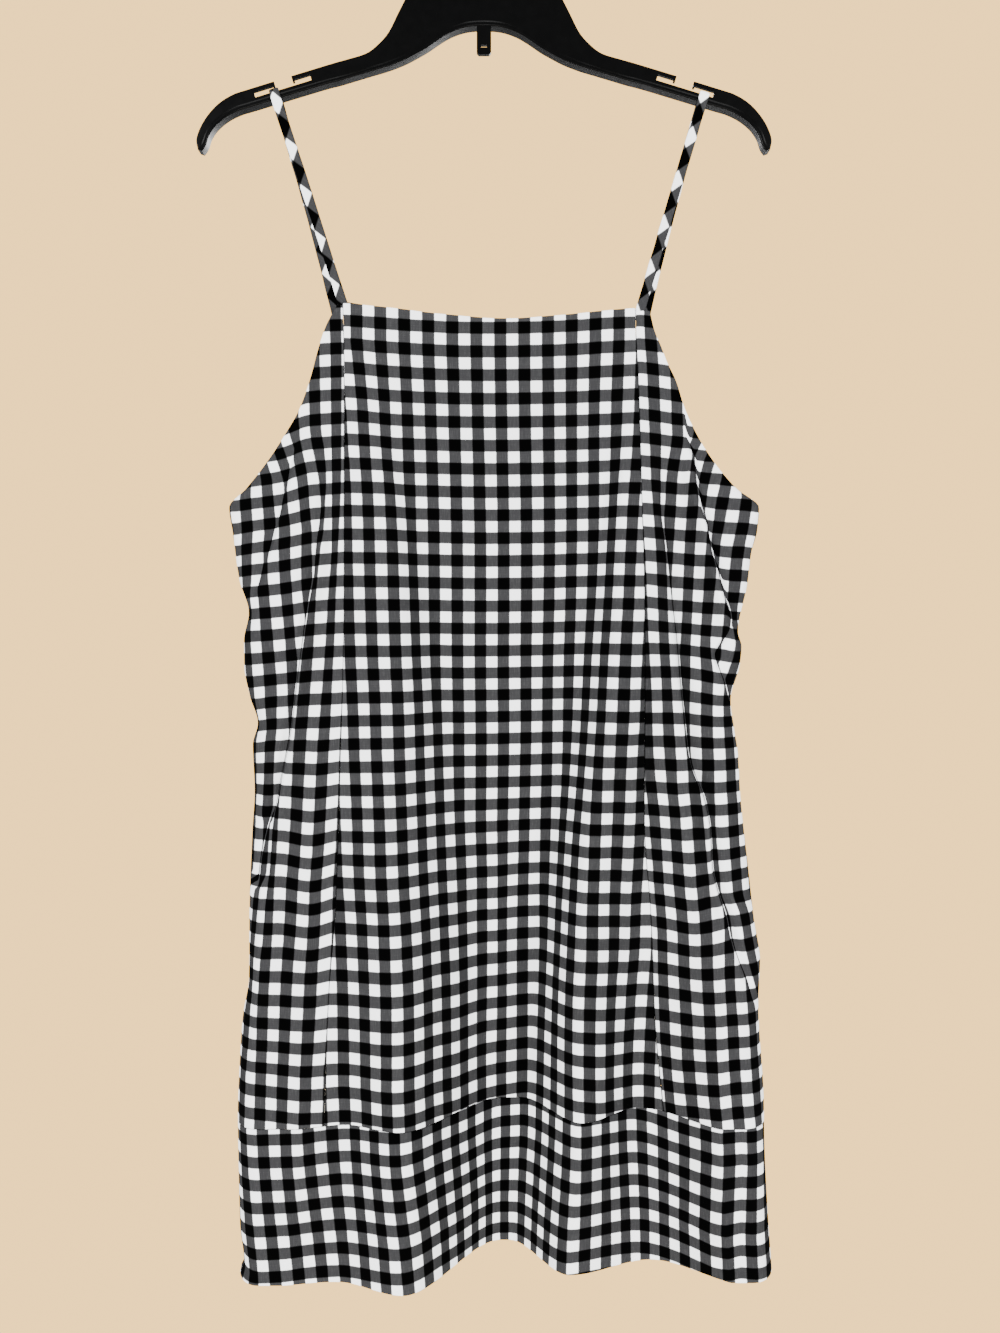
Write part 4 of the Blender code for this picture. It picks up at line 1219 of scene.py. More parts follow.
@dataclass(frozen=True)
class GinghamCotton:
    """Yarn-dyed cotton gingham, plain woven.

    White and black yarns cross in 9 mm stripes, so that the squares are white, black or
    a grey of mixed threads.  It is matt, with a faint bloom of loose fibre.
    """

    name: str = "yarn_dyed_cotton_gingham"
    white: str = "#F1F2F3"
    grey: str = "#2A2A2B"
    black: str = "#020202"
    # where a stripe's edge yarns mix with the next square
    light_edge: str = "#616161"
    dark_edge: str = "#181818"
    edge_blur_mm: float = 0.4
    # the black stripe is a yarn wider than the white one
    black_wider_mm: float = 0.36
    wobble_mm: float = 0.18
    wobble_size_mm: float = 5.0
    # a yarn is about 0.35 mm wide, drawn about twice as coarse so that it shows
    yarn_mm: float = 0.75
    slub_length_mm: float = 9.0
    slub_amount: float = 0.09
    # how rough the slubs are down the cloth and across it, and the share of those across
    slub_roughness: tuple[float, float] = (0.65, 0.6)
    weft_slubs: float = 0.3
    weave_height_mm: float = 0.08
    weave_strength: float = 0.35
    roughness: float = 0.92
    bloom: float = 0.006
    bloom_roughness: float = 0.5

    def stripes(self, tree: NodeTree, count: NodeSocket, repeat: float) -> NodeSocket:
        """Add the nodes of one set of stripes.

        Args:
            tree: The material's tree.
            count: Socket with the number of repeats.
            repeat: Real length of one repeat in millimetres.

        Returns:
            Socket with 0 on white yarn and 1 on black.
        """
        wave = math_node(tree, "PINGPONG", math_node(tree, "SUBTRACT", count, 0.25), 0.5)
        soft = self.edge_blur_mm / repeat
        border = 0.25 - 0.25 * self.black_wider_mm / repeat
        edge = add_node(tree, "ShaderNodeMapRange", {
            "Value": wave, "From Min": border - soft, "From Max": border + soft})
        return edge.outputs["Result"]

    def shaken(self, tree: NodeTree, place: NodeSocket) -> NodeSocket:
        """Add the nodes that let the yarns wander a little from their even places."""
        drift = noise_node(tree, place, REPEAT_ACROSS / self.wobble_size_mm).outputs["Color"]
        small = add_node(tree, "ShaderNodeVectorMath", {
            0: vector_node(tree, "SUBTRACT", drift, (0.5, 0.5, 0.5)),
            "Scale": 2.0 * self.wobble_mm / REPEAT_ACROSS}, operation="SCALE")
        return vector_node(tree, "ADD", place, small.outputs[0])

    def slubs(self, tree: NodeTree, place: NodeSocket) -> NodeSocket:
        """Add the nodes of uneven yarns, each long one way of the cloth and a yarn wide."""
        down = (REPEAT_ACROSS / self.yarn_mm, REPEAT_DOWN / self.slub_length_mm, 1.0)
        along = (REPEAT_ACROSS / self.slub_length_mm, REPEAT_DOWN / self.yarn_mm, 1.0)
        down_rough, along_rough = self.slub_roughness
        warp = noise_node(tree, vector_node(tree, "MULTIPLY", place, down), 1.0, 3.0, down_rough)
        weft = noise_node(tree, vector_node(tree, "MULTIPLY", place, along), 1.0, 2.0, along_rough)
        mixed = add_node(tree, "ShaderNodeMix", {
            "Factor": self.weft_slubs, "A": warp.outputs["Fac"], "B": weft.outputs["Fac"]}, data_type="FLOAT")
        return mixed.outputs[0]

    def weave(self, tree: NodeTree, place: NodeSocket) -> NodeSocket:
        """Add the nodes of the plain weave, raised where a yarn passes over."""
        yarns = (math.pi * REPEAT_ACROSS / self.yarn_mm, math.pi * REPEAT_DOWN / self.yarn_mm, 1.0)
        split = add_node(tree, "ShaderNodeSeparateXYZ", {0: vector_node(tree, "MULTIPLY", place, yarns)})
        over, under = (math_node(tree, "SINE", split.outputs[axis]) for axis in "XY")
        return math_node(tree, "MULTIPLY", over, under)

    def dyed(self, tree: NodeTree, blackness: NodeSocket) -> NodeSocket:
        """Add the ramp from white over the mixed grey to black, and give its colour."""
        ramp = add_node(tree, "ShaderNodeValToRGB", {"Fac": blackness})
        stops = ramp.color_ramp.elements
        stops[0].position, stops[0].color = 0.02, srgb(self.white)
        stops[1].position, stops[1].color = 0.97, srgb(self.black)
        for position, colour in ((0.25, self.light_edge), (0.5, self.grey), (0.75, self.dark_edge)):
            stops.new(position).color = srgb(colour)
        return ramp.outputs["Color"]

    def make(self) -> Material:
        """Build the material.

        Returns:
            The cloth's material, which reads the check from the piece's UV map.
        """
        material, tree, shader = new_material(self.name)
        place = add_node(tree, "ShaderNodeUVMap", uv_map=UV_NAME).outputs["UV"]
        split = add_node(tree, "ShaderNodeSeparateXYZ", {0: self.shaken(tree, place)})
        warp = self.stripes(tree, split.outputs["X"], REPEAT_ACROSS)
        weft = self.stripes(tree, split.outputs["Y"], REPEAT_DOWN)
        blackness = math_node(tree, "MULTIPLY", math_node(tree, "ADD", warp, weft), 0.5)
        slubs = self.slubs(tree, place)
        # grey squares mix light and dark yarns, so there the slubs show most
        pure = math_node(tree, "ABSOLUTE", math_node(tree, "SUBTRACT", blackness, 0.5))
        share = add_node(tree, "ShaderNodeMapRange", {
            "Value": pure, "From Min": 0.0, "From Max": 0.5,
            "To Min": self.slub_amount * 2.0, "To Max": self.slub_amount * 0.25})
        uneven = math_node(tree, "SUBTRACT", slubs, 0.5)
        mixed = math_node(tree, "MULTIPLY_ADD", uneven, share.outputs[0], blackness)
        height = math_node(tree, "MULTIPLY_ADD", slubs, 2.0, self.weave(tree, place))
        normal = bump_node(tree, height, self.weave_strength, self.weave_height_mm)
        feed(tree, shader, {
            "Base Color": self.dyed(tree, mixed), "Normal": normal, "Roughness": self.roughness,
            "Specular IOR Level": 0.0, "Sheen Weight": self.bloom, "Sheen Roughness": self.bloom_roughness})
        return material


@dataclass(frozen=True)
class MouldedPlastic:
    """Black polystyrene, injection moulded: smooth, with a satin gloss and faint flow marks."""

    name: str = "moulded_black_polystyrene"
    colour: str = "#020202"
    worn: str = "#050505"
    roughness: tuple[float, float] = (0.24, 0.32)
    gloss: float = 0.05
    refraction: float = 1.55
    # faint waviness of the moulded skin
    wave_mm: float = 7.0
    wave_height_mm: float = 0.2
    wave_strength: float = 0.03
    # fine scuffs, counted to a metre
    scuffs: float = 900.0

    def make(self) -> Material:
        """Build the material from Object coordinates."""
        material, tree, shader = new_material(self.name)
        place = add_node(tree, "ShaderNodeTexCoord").outputs["Object"]
        flow = noise_node(tree, place, 1.0 / (self.wave_mm * MM), 3.0)
        scuff = noise_node(tree, place, self.scuffs)
        gloss = add_node(tree, "ShaderNodeMapRange", {
            "Value": flow.outputs["Fac"], "From Min": 0.3, "From Max": 0.7,
            "To Min": self.roughness[0], "To Max": self.roughness[1]})
        tint = add_node(tree, "ShaderNodeMapRange", {
            "Value": scuff.outputs["Fac"], "From Min": 0.62, "From Max": 0.8, "To Max": 0.5})
        colour = add_node(tree, "ShaderNodeMix", {
            "Factor": tint.outputs[0], "A": srgb(self.colour), "B": srgb(self.worn)}, data_type="RGBA")
        normal = bump_node(tree, flow.outputs["Fac"], self.wave_strength, self.wave_height_mm)
        feed(tree, shader, {
            "Roughness": gloss.outputs[0], "Base Color": colour.outputs["Result"], "Normal": normal,
            "IOR": self.refraction, "Specular IOR Level": self.gloss})
        return material


@dataclass(frozen=True)
class PlatedWire:
    """Steel wire, zinc plated and drawn: bright, with fine lines along it."""

    name: str = "zinc_plated_steel_wire"
    colour: str = "#C4C5C7"
    roughness: tuple[float, float] = (0.18, 0.36)
    grain_mm: float = 0.5
    grain_height_mm: float = 0.05
    grain_strength: float = 0.1

    def make(self) -> Material:
        """Build the material from Object coordinates."""
        material, tree, shader = new_material(self.name)
        place = add_node(tree, "ShaderNodeTexCoord").outputs["Object"]
        grain = noise_node(tree, place, 1.0 / (self.grain_mm * MM))
        rough = add_node(tree, "ShaderNodeMapRange", {
            "Value": grain.outputs["Fac"], "To Min": self.roughness[0], "To Max": self.roughness[1]})
        normal = bump_node(tree, grain.outputs["Fac"], self.grain_strength, self.grain_height_mm)
        feed(tree, shader, {
            "Base Color": srgb(self.colour), "Metallic": 1.0, "Roughness": rough.outputs[0],
            "Normal": normal})
        return material


@dataclass(frozen=True)
class SewingThread:
    """Spun polyester sewing thread, twisted: black, with a soft sheen."""

    name: str = "spun_polyester_thread"
    colour: str = "#1B1B1C"
    twist_mm: float = 0.4
    twist_height_mm: float = 0.1
    twist_strength: float = 0.3
    roughness: float = 0.6

    def make(self) -> Material:
        """Build the material from Object coordinates."""
        material, tree, shader = new_material(self.name)
        place = add_node(tree, "ShaderNodeTexCoord").outputs["Object"]
        twist = noise_node(tree, place, 1.0 / (self.twist_mm * MM), 1.0)
        normal = bump_node(tree, twist.outputs["Fac"], self.twist_strength, self.twist_height_mm)
        feed(tree, shader, {"Base Color": srgb(self.colour), "Normal": normal, "Roughness": self.roughness})
        return material


def catmull(rows: np.ndarray, steps: int) -> np.ndarray:
    """Draw a smooth curve through rows.

    Args:
        rows: Rows of equal width, at least two.
        steps: Steps between two rows.

    Returns:
        The finer rows, which pass through the given ones.
    """
    padded = np.concatenate((2 * rows[:1] - rows[1:2], rows, 2 * rows[-1:] - rows[-2:-1]))
    fine = []
    for a, b, c, d in zip(padded, padded[1:], padded[2:], padded[3:]):
        for k in range(steps):
            t = k / steps
            fine.append(0.5 * (2 * b + (c - a) * t + (2 * a - 5 * b + 4 * c - d) * t ** 2
                               + (3 * b - a - 3 * c + d) * t ** 3))
    return np.array(fine + [rows[-1]])


def add_solid(name: str, vertices: np.ndarray, faces: list, finish: Material) -> Object:
    """Make a closed solid from millimetre points, with its faces pointing out.

    Args:
        name: The object's name.
        vertices: Its points.
        faces: Its faces as vertex numbers.
        finish: Its material.

    Returns:
        The new object.
    """
    mesh = bpy.data.meshes.new(name)
    mesh.from_pydata(np.asarray(vertices) * MM, [], faces)
    shape = bmesh.new()
    shape.from_mesh(mesh)
    bmesh.ops.recalc_face_normals(shape, faces=shape.faces)
    shape.to_mesh(mesh)
    shape.free()
    mesh.materials.append(finish)
    return placed(mesh)


def ring_faces(rings: int, sides: int) -> list[tuple[int, ...]]:
    """Give the faces of a tube of equal rings, with its two end caps."""
    faces = [tuple(range(sides)), tuple(range((rings - 1) * sides, rings * sides))]
    for i in range(rings - 1):
        for j in range(sides):
            a, b = i * sides + j, i * sides + (j + 1) % sides
            faces.append((a, b, b + sides, a + sides))
    return faces


# The moulded bow and the strap notches in its arms, as in the model
ARM_SLOPE = math.radians(16.7)
NOTCH_ACROSS = 150.5
NOTCH_TOP_DROP = 179.8
NOTCH_FLOOR = 7.6
NOTCH_HALF = 6.8
BOW_DEPTH = 10.0


@dataclass
class Straps:
    """The two shoulder straps: bias-cut tubes, pressed flat, looped over the hanger's notches."""

    front: Drape
    back: Drape
    finish: Material
    width: float = 7.2
    thick: float = 1.8
    tuck: float = 9.0
    cloth: float = 1.2
    front_ends: tuple[float, float] = (-103.5, 115.2)
    back_ends: tuple[float, float] = (-106.0, 116.5)
    beside_notch: tuple[float, float] = (-0.4, 7.6)
    turn: float = 1.3
    on_arm: float = 9.0
    bow: tuple[float, float] = (0.3, 1.8)
    steps: tuple[float, ...] = (0.10, 0.30, 0.50, 0.70, 0.85)
    # how much longer the check's diagonal is on the pulled bias
    bias_stretch: tuple[float, float] = (1.39, 1.33)
    # where the first white square lies along each strap, and the line of white and black
    # squares beside its middle at the neck and at the hanger
    first_white: tuple[float, float] = (22.6, 39.0)
    neck_line: float = -4.6
    hanger_line: float = -0.6
    section_points: int = 16
    path_steps: int = 8
    # how boxy the pressed tube's section is, across and through it
    boxiness: tuple[float, float] = (0.55, 0.8)
    # the pressed width's unevenness: its share, its size and its seed
    uneven: tuple[float, float, int] = (0.05, 14.0, 40)

    def path(self, sign: int) -> np.ndarray:
        """Trace one strap: up in front of the arm, through its notch, and down behind.

        Args:
            sign: Minus one for the left strap, one for the right.

        Returns:
            Points of the strap's middle line in millimetres.
        """
        side = 0 if sign < 0 else 1
        neck_front, neck_back = self.front_ends[side], self.back_ends[side]
        arm_across = sign * (NOTCH_ACROSS + NOTCH_HALF + self.beside_notch[side])
        floor_drop = (NOTCH_TOP_DROP + NOTCH_FLOOR / math.cos(ARM_SLOPE)
                      + (abs(arm_across) - NOTCH_ACROSS) * math.tan(ARM_SLOPE))
        clear = SEAM_GAP + self.thick / 2
        neck_drop = float(NECK_EDGE(neck_front))
        front_edge = float(self.front.smooth_depth(*np.atleast_1d(neck_front, neck_drop + 1.0))[0])
        front_edge += self.cloth + clear
        back_edge = float(self.back.smooth_depth(*np.atleast_1d(neck_back, BACK_TOP_DROP + 1.0))[0])
        back_edge -= self.cloth + clear
        half, over = BOW_DEPTH / 2 + clear, floor_drop - clear
        lean = sign * math.sin(ARM_SLOPE)
        arm_foot = floor_drop + self.on_arm

        def beside(drop: float) -> float:
            """Give the place across beside the notch at one drop."""
            return arm_across - lean * (drop - over)

        start = Vector((neck_front, front_edge, -(neck_drop + self.tuck)))
        foot = Vector((beside(arm_foot), -half, -arm_foot))
        points = [start]
        for share in self.steps:
            place = start.lerp(foot, share)
            place.x -= sign * self.bow[0] * math.sin(math.pi * share)
            place.y = blend(front_edge, -half, float(ease(np.float64(share))))
            points.append(place)
        points.append(foot)
        rising = []
        for angle in (0, 30, 60, 90):
            swing = math.radians(angle)
            depth = -half + self.turn * (1 - math.cos(swing))
            drop = over + self.turn * (1 - math.sin(swing))
            rising.append(Vector((beside(drop), depth, -drop)))
        points += rising
        points += [Vector((p.x, -p.y, p.z)) for p in reversed([foot] + rising)]
        behind = points[-1]
        tail = Vector((neck_back, back_edge, -(BACK_TOP_DROP + self.tuck)))
        for share in self.steps + (1.0,):
            place = behind.lerp(tail, share)
            place.x -= sign * self.bow[1] * math.sin(math.pi * share)
            place.y = blend(half, back_edge, float(ease(np.float64(share))))
            points.append(place)
        return np.array([tuple(p) for p in points])

    def strap(self, sign: int) -> Object:
        """Build one strap.

        Args:
            sign: Minus one for the left strap, one for the right.

        Returns:
            The finished piece.
        """
        side = 0 if sign < 0 else 1
        line = catmull(self.path(sign), self.path_steps)
        tangent = unit(np.gradient(line, axis=0))
        level = np.array((math.cos(ARM_SLOPE), 0.0, -sign * math.sin(ARM_SLOPE)))
        aside = unit(level - tangent * (tangent @ level)[:, None])
        out = unit(np.cross(tangent, aside))
        length = np.concatenate(([0.0], np.linalg.norm(np.diff(line, axis=0), axis=1).cumsum()))
        angles = 2 * math.pi * np.arange(self.section_points) / self.section_points
        wide = np.sign(np.cos(angles)) * np.abs(np.cos(angles)) ** self.boxiness[0] * self.width / 2
        tall = np.sign(np.sin(angles)) * np.abs(np.sin(angles)) ** self.boxiness[1] * self.thick / 2
        amount, size, seed = self.uneven
        uneven = 1.0 + amount * soft_noise(np.zeros_like(length), length, size, seed + sign)
        rings = (line[:, None, :] + aside[:, None, :] * (wide[None, :] * uneven[:, None])[..., None]
                 + out[:, None, :] * tall[None, :, None])
        node = ("strap_left", "strap_right")[side]
        faces = ring_faces(len(line), self.section_points)
        piece = add_solid(f"{node}_rouleau", rings.reshape(-1, 3), faces, self.finish)
        around = np.concatenate(([0.0], np.hypot(np.diff(wide), np.diff(tall)).cumsum()))
        around -= around[3 * self.section_points // 4]
        along = np.repeat(length[:, None], self.section_points, axis=1) - self.first_white[side]
        aside_line = blend(self.neck_line, self.hanger_line, length / (0.5 * length[-1]))
        around = around[None, :] - aside_line[:, None]
        diagonal = REPEAT_ACROSS * math.sqrt(2.0)
        along, around = along / (diagonal * self.bias_stretch[side]), around / diagonal
        # white squares have their middle a quarter of a repeat in, both ways
        check = np.stack((along + around + 0.25, along - around + 0.25), axis=-1)
        set_check(piece.data, check.reshape(-1, 2), self.section_points)
        piece.data.shade_smooth()
        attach(piece, BODY)
        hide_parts(node)
        return piece

    def build(self) -> list[Object]:
        """Build both straps."""
        return [self.strap(-1), self.strap(1)]


def set_check(mesh: Mesh, check: np.ndarray, sides: int) -> None:
    """Give a tube's corners their place in the woven check.

    Args:
        mesh: The tube.
        check: Check coordinates of its vertices.
        sides: Vertices in one ring, so that the last face round joins without a jump.
    """
    layer = mesh.uv_layers.new(name=UV_NAME)
    # the check's step across one face round the tube, used where the ring closes
    step = check[1] - check[0]
    for face in mesh.polygons:
        numbers = [mesh.loops[i].vertex_index for i in face.loop_indices]
        closing = len(numbers) == 4 and {n % sides for n in numbers} == {0, sides - 1}
        for corner, number in zip(face.loop_indices, numbers):
            value = check[number]
            if closing and number % sides == 0:
                value = check[number + sides - 1] + step
            layer.data[corner].uv = value


@dataclass
class Hanger:
    """The moulded bow with a strap notch in each arm, and its wire hook."""

    plastic: Material
    wire: Material
    face: float = 2.6
    rim: float = 2.2
    # ledge along the lower edge: its height, the fall of its slope, and how far it is set back
    ledge: float = 2.3
    ledge_slope: float = 0.7
    ledge_depth: float = 0.5
    edge: float = 1.1
    edge_steps: int = 4
    lip_thick: float = 3.4
    lip_barb: float = 1.5
    barb_depth: float = 5.1
    inner_slot: float = 20.5
    outer_slot: float = 23.5
    lip_relief: float = 1.5
    lip_relief_floor: float = 7.2
    # how far the cutting solids reach above the arm and past its front and back
    cut_above: float = 4.0
    cut_past: float = 2.0
    # rows of the bow between which its back is hollow, counted from either tip
    hollow_rows: tuple[tuple[int, int], ...] = ((2, 6), (8, -8), (-6, -2))
    tab_width: float = 10.7
    tab_top: float = 138.0
    tab_drop: float = 162.0
    tab_corner: float = 1.5
    tab_thick: float = 3.2
    tab_behind: float = 1.0
    tab_slot: tuple[float, float] = (4.4, 1.8)
    tab_slot_drop: float = 156.0
    smooth_steps: int = 4
    # angles over which an edge stays sharp, on the bow and on the hook
    sharp_degrees: tuple[float, float] = (32.0, 38.0)
    soft_edge: float = 0.25
    soft_edge_steps: int = 2
    soft_edge_degrees: float = 40.0
    wire_thick: float = 3.6
    wire_sides: int = 24
    wire_steps: int = 3
    # the wire's rounded end: its rings and how small the last one is
    tip_rings: int = 5
    tip_angle: float = 0.08
    hook_inside: float = 40.0
    crown_drop: float = 70.0
    hook_stem: Rows = ((0, 62), (0, 57), (-1.6, 52), (-6, 47.2))
    hook_sweep: tuple[int, int, int] = (232, -29, -8)
    collar: Rows = ((6.5, 0.0), (6.5, 5.4), (6.2, 6.3), (4.8, 7.9), (4.3, 8.0))
    collar_depth: float = 0.7
    # half of the bow: across and drop of the top edge, across and drop of the lower edge
    bow_rows: Rows = (
        (0, 70, 0, 141), (16, 73, 13, 142), (30, 81, 24, 145.5), (42, 93, 33, 150.5),
        (51, 107, 42, 156.5), (58.5, 122, 51, 161.5), (64, 132.5, 60, 166), (71, 146, 72, 170.5),
        (79, 155, 84, 174), (88, 161.5, 96, 177.5), (103, 166, 108, 181), (118, 170.2, 122, 184.6),
        (176, 187.5, 172, 199.4), (188, 191.5, 183, 202.6), (198, 197.5, 193, 207.5), (206, 205.5, 201, 214),
        (212, 214.5, 206, 221), (215.5, 224, 208.5, 228), (214.5, 231.5, 211.5, 232.5))

    def stations(self, first: int, last: int, shrink: float) -> tuple[np.ndarray, np.ndarray]:
        """Give the bow's top and lower edge points between two rows.

        Args:
            first: Number of the first row, counted from the left tip.
            last: Number after the last row.
            shrink: How far both edges are drawn in.

        Returns:
            The top points and the lower points.
        """
        half, steps = np.array(self.bow_rows, float), self.smooth_steps
        mirrored = half[:0:-1] * np.array((-1, 1, -1, 1))
        rows = np.concatenate((mirrored, half))
        fine = catmull(rows, steps)[first * steps:(last - 1) * steps + 1]
        zero = np.zeros(len(fine))
        top = np.stack((fine[:, 0], zero, -fine[:, 1]), axis=1)
        low = np.stack((fine[:, 2], zero, -fine[:, 3]), axis=1)
        inward = unit(low - top) * shrink
        return top + inward, low - inward

    def loft(self, name: str, stations: tuple[np.ndarray, np.ndarray], section: list) -> Object:
        """Loft a section along the bow.

        Args:
            name: The object's name.
            stations: Top and lower points.
            section: Rows of (share from top to lower edge, inset, depth).

        Returns:
            The closed solid.
        """
        top, low = stations
        down = unit(low - top)
        rings = []
        for share, inset, depth in section:
            ring = blend(top, low, share) + down * inset
            ring[:, 1] = depth
            rings.append(ring)
        vertices = np.stack(rings, axis=1).reshape(-1, 3)
        return add_solid(name, vertices, ring_faces(len(top), len(section)), self.plastic)

    def extruded(self, name: str, outline: list, depth_from: float, depth_to: float) -> Object:
        """Extrude an outline of (across, drop) points from front to back."""
        count = len(outline)
        vertices = [(x, depth, -drop) for depth in (depth_from, depth_to) for x, drop in outline]
        faces = [tuple(range(count)), tuple(range(count, 2 * count))]
        faces += [(i, (i + 1) % count, count + (i + 1) % count, count + i) for i in range(count)]
        return add_solid(name, np.array(vertices, float), faces, self.plastic)

    def combine(self, body: Object, other: Object, operation: str) -> None:
        """Add or cut one solid with the exact solver and drop the tool."""
        modifier = body.modifiers.new(operation.lower(), "BOOLEAN")
        modifier.operation = operation
        modifier.object = other
        bake_modifiers(body)
        bpy.data.objects.remove(other)

    def rounded_section(self) -> list[tuple[float, float, float]]:
        """Give the bow's section: a flat front with a ledge below, and rounded front edges."""
        front, back = -BOW_DEPTH / 2, BOW_DEPTH / 2
        corner = []
        for k in range(self.edge_steps + 1):
            turn = 0.5 * math.pi * k / self.edge_steps
            corner.append((self.edge * (1 - math.cos(turn)), front + self.edge * (1 - math.sin(turn))))
        section = [(0, 0, back)] + [(0, inset, depth) for inset, depth in corner]
        section += [(1, -self.ledge - self.ledge_slope, front), (1, -self.ledge, front + self.ledge_depth)]
        section += [(1, -inset, depth + self.ledge_depth) for inset, depth in reversed(corner)]
        return section + [(1, 0, back)]

    def arm_outline(self, sign: int, profile: Rows) -> list[tuple[float, float]]:
        """Turn places given along and up from the notch's middle on an arm into (across, drop)."""
        outline = []
        for along, up in profile:
            across = NOTCH_ACROSS + along * math.cos(ARM_SLOPE) + up * math.sin(ARM_SLOPE)
            drop = NOTCH_TOP_DROP + along * math.sin(ARM_SLOPE) - up * math.cos(ARM_SLOPE)
            outline.append((sign * across, drop))
        return outline

    def relief_outline(self, sign: int) -> list[tuple[float, float]]:
        """Outline the hollow behind one arm's two lips, which leaves them as thin as the face."""
        inner, outer = -self.inner_slot - self.lip_relief, self.outer_slot + self.lip_relief
        top, floor = self.cut_above, -self.lip_relief_floor
        return self.arm_outline(sign, ((inner, top), (outer, top), (outer, floor), (inner, floor)))

    def notch_outline(self, sign: int) -> list[tuple[float, float]]:
        """Outline one arm's strap notch, an open gap with a slot under the lip on each side."""
        barb, top, lip, under = NOTCH_HALF + self.lip_barb, self.cut_above, -self.lip_thick, -self.barb_depth
        inner, outer = -self.inner_slot, self.outer_slot
        profile = ((-NOTCH_HALF, top), (NOTCH_HALF, top), (NOTCH_HALF, under), (barb, under), (barb, lip),
                   (outer, lip), (outer, -NOTCH_FLOOR), (inner, -NOTCH_FLOOR), (inner, lip), (-barb, lip),
                   (-barb, under), (-NOTCH_HALF, under))
        return self.arm_outline(sign, profile)

    def bow(self) -> Object:
        """Build the moulded bow: hollow back, strap notches and centre tab.

        Returns:
            The finished piece.
        """
        front, past = -BOW_DEPTH / 2, BOW_DEPTH / 2 + self.cut_past
        whole = 2 * len(self.bow_rows) - 1
        bow = self.loft("hanger_bow", self.stations(0, whole, 0.0), self.rounded_section())
        half, low, corner = self.tab_width / 2, self.tab_drop, self.tab_corner
        tab = [(-half, self.tab_top), (half, self.tab_top), (half, low - corner), (half - corner, low),
               (corner - half, low), (-half, low - corner)]
        tab_front = front + self.tab_behind
        self.combine(bow, self.extruded("tab", tab, tab_front, tab_front + self.tab_thick), "UNION")
        behind = front + self.face
        hollow = [(0, 0, behind), (1, 0, behind), (1, 0, past), (0, 0, past)]
        for first, last in self.hollow_rows:
            stations = self.stations(first % whole, last % whole, self.rim)
            self.combine(bow, self.loft("hollow", stations, hollow), "DIFFERENCE")
        for sign in (-1, 1):
            notch = self.extruded("notch", self.notch_outline(sign), -past, past)
            self.combine(bow, notch, "DIFFERENCE")
            relief = self.extruded("relief", self.relief_outline(sign), behind, past)
            self.combine(bow, relief, "DIFFERENCE")
        wide, tall = self.tab_slot[0] / 2, self.tab_slot[1] / 2
        drop = self.tab_slot_drop
        slot = [(-wide, drop - tall), (wide, drop - tall), (wide, drop + tall), (-wide, drop + tall)]
        self.combine(bow, self.extruded("tab_slot", slot, -past, past), "DIFFERENCE")
        bow.data.shade_smooth()
        bow.data.set_sharp_from_angle(angle=math.radians(self.sharp_degrees[0]))
        soften = bow.modifiers.new("soft_edges", "BEVEL")
        soften.width = self.soft_edge * MM
        soften.segments = self.soft_edge_steps
        soften.angle_limit = math.radians(self.soft_edge_degrees)
        soften.harden_normals = True
        # the large flat faces keep their flat shading beside the rounded edges
        flatten = bow.modifiers.new("flat_faces", "WEIGHTED_NORMAL")
        flatten.keep_sharp = True
        flatten.weight = 100
        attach(bow, BODY)
        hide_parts("hanger")
        return bow

    def hook(self) -> Object:
        """Build the wire hook with its collar and rounded end.

        Returns:
            The finished piece.
        """
        radius = (self.hook_inside + self.wire_thick) / 2
        foot = self.crown_drop - SEAM_GAP
        points = [(0.0, 1.0 - foot)] + [(across, -drop) for across, drop in self.hook_stem]
        for angle in range(*self.hook_sweep):
            turn = math.radians(angle)
            points.append((radius * math.cos(turn), radius * math.sin(turn) - self.hook_inside / 2))
        line = catmull(np.array([(x, 0.0, z) for x, z in points]), self.wire_steps)
        tangent = unit(np.gradient(line, axis=0))
        depthways = np.array((0.0, 1.0, 0.0))
        normal = np.cross(depthways, tangent)
        sizes = np.full(len(line), self.wire_thick / 2)
        sizes[-self.tip_rings:] *= np.sin(np.linspace(0.5 * math.pi, self.tip_angle, self.tip_rings))
        angles = 2 * math.pi * np.arange(self.wire_sides) / self.wire_sides
        turned = (normal[:, None, :] * np.cos(angles)[None, :, None]
                  + depthways[None, None, :] * np.sin(angles)[None, :, None])
        rings = line[:, None, :] + turned * sizes[:, None, None]
        hook = add_solid("wire_hook", rings.reshape(-1, 3), ring_faces(len(line), self.wire_sides), self.wire)
        collar = []
        for wide, rise in self.collar:
            for angle in angles:
                depth = self.collar_depth * wide * math.sin(angle)
                collar.append((wide * math.cos(angle), depth, rise - foot))
        faces = ring_faces(len(self.collar), self.wire_sides)
        self.combine(hook, add_solid("collar", np.array(collar), faces, self.wire), "UNION")
        hook.data.shade_smooth()
        hook.data.set_sharp_from_angle(angle=math.radians(self.sharp_degrees[1]))
        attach(hook, BODY)
        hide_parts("hook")
        return hook

    def build(self) -> list[Object]:
        """Build the bow and its hook."""
        return [self.bow(), self.hook()]


def bake_modifiers(piece: Object) -> None:
    """Turn a piece with modifiers into its plain evaluated mesh."""
    bpy.context.view_layer.update()
    evaluated = piece.evaluated_get(bpy.context.evaluated_depsgraph_get())
    mesh = bpy.data.meshes.new_from_object(evaluated)
    piece.modifiers.clear()
    piece.data = mesh


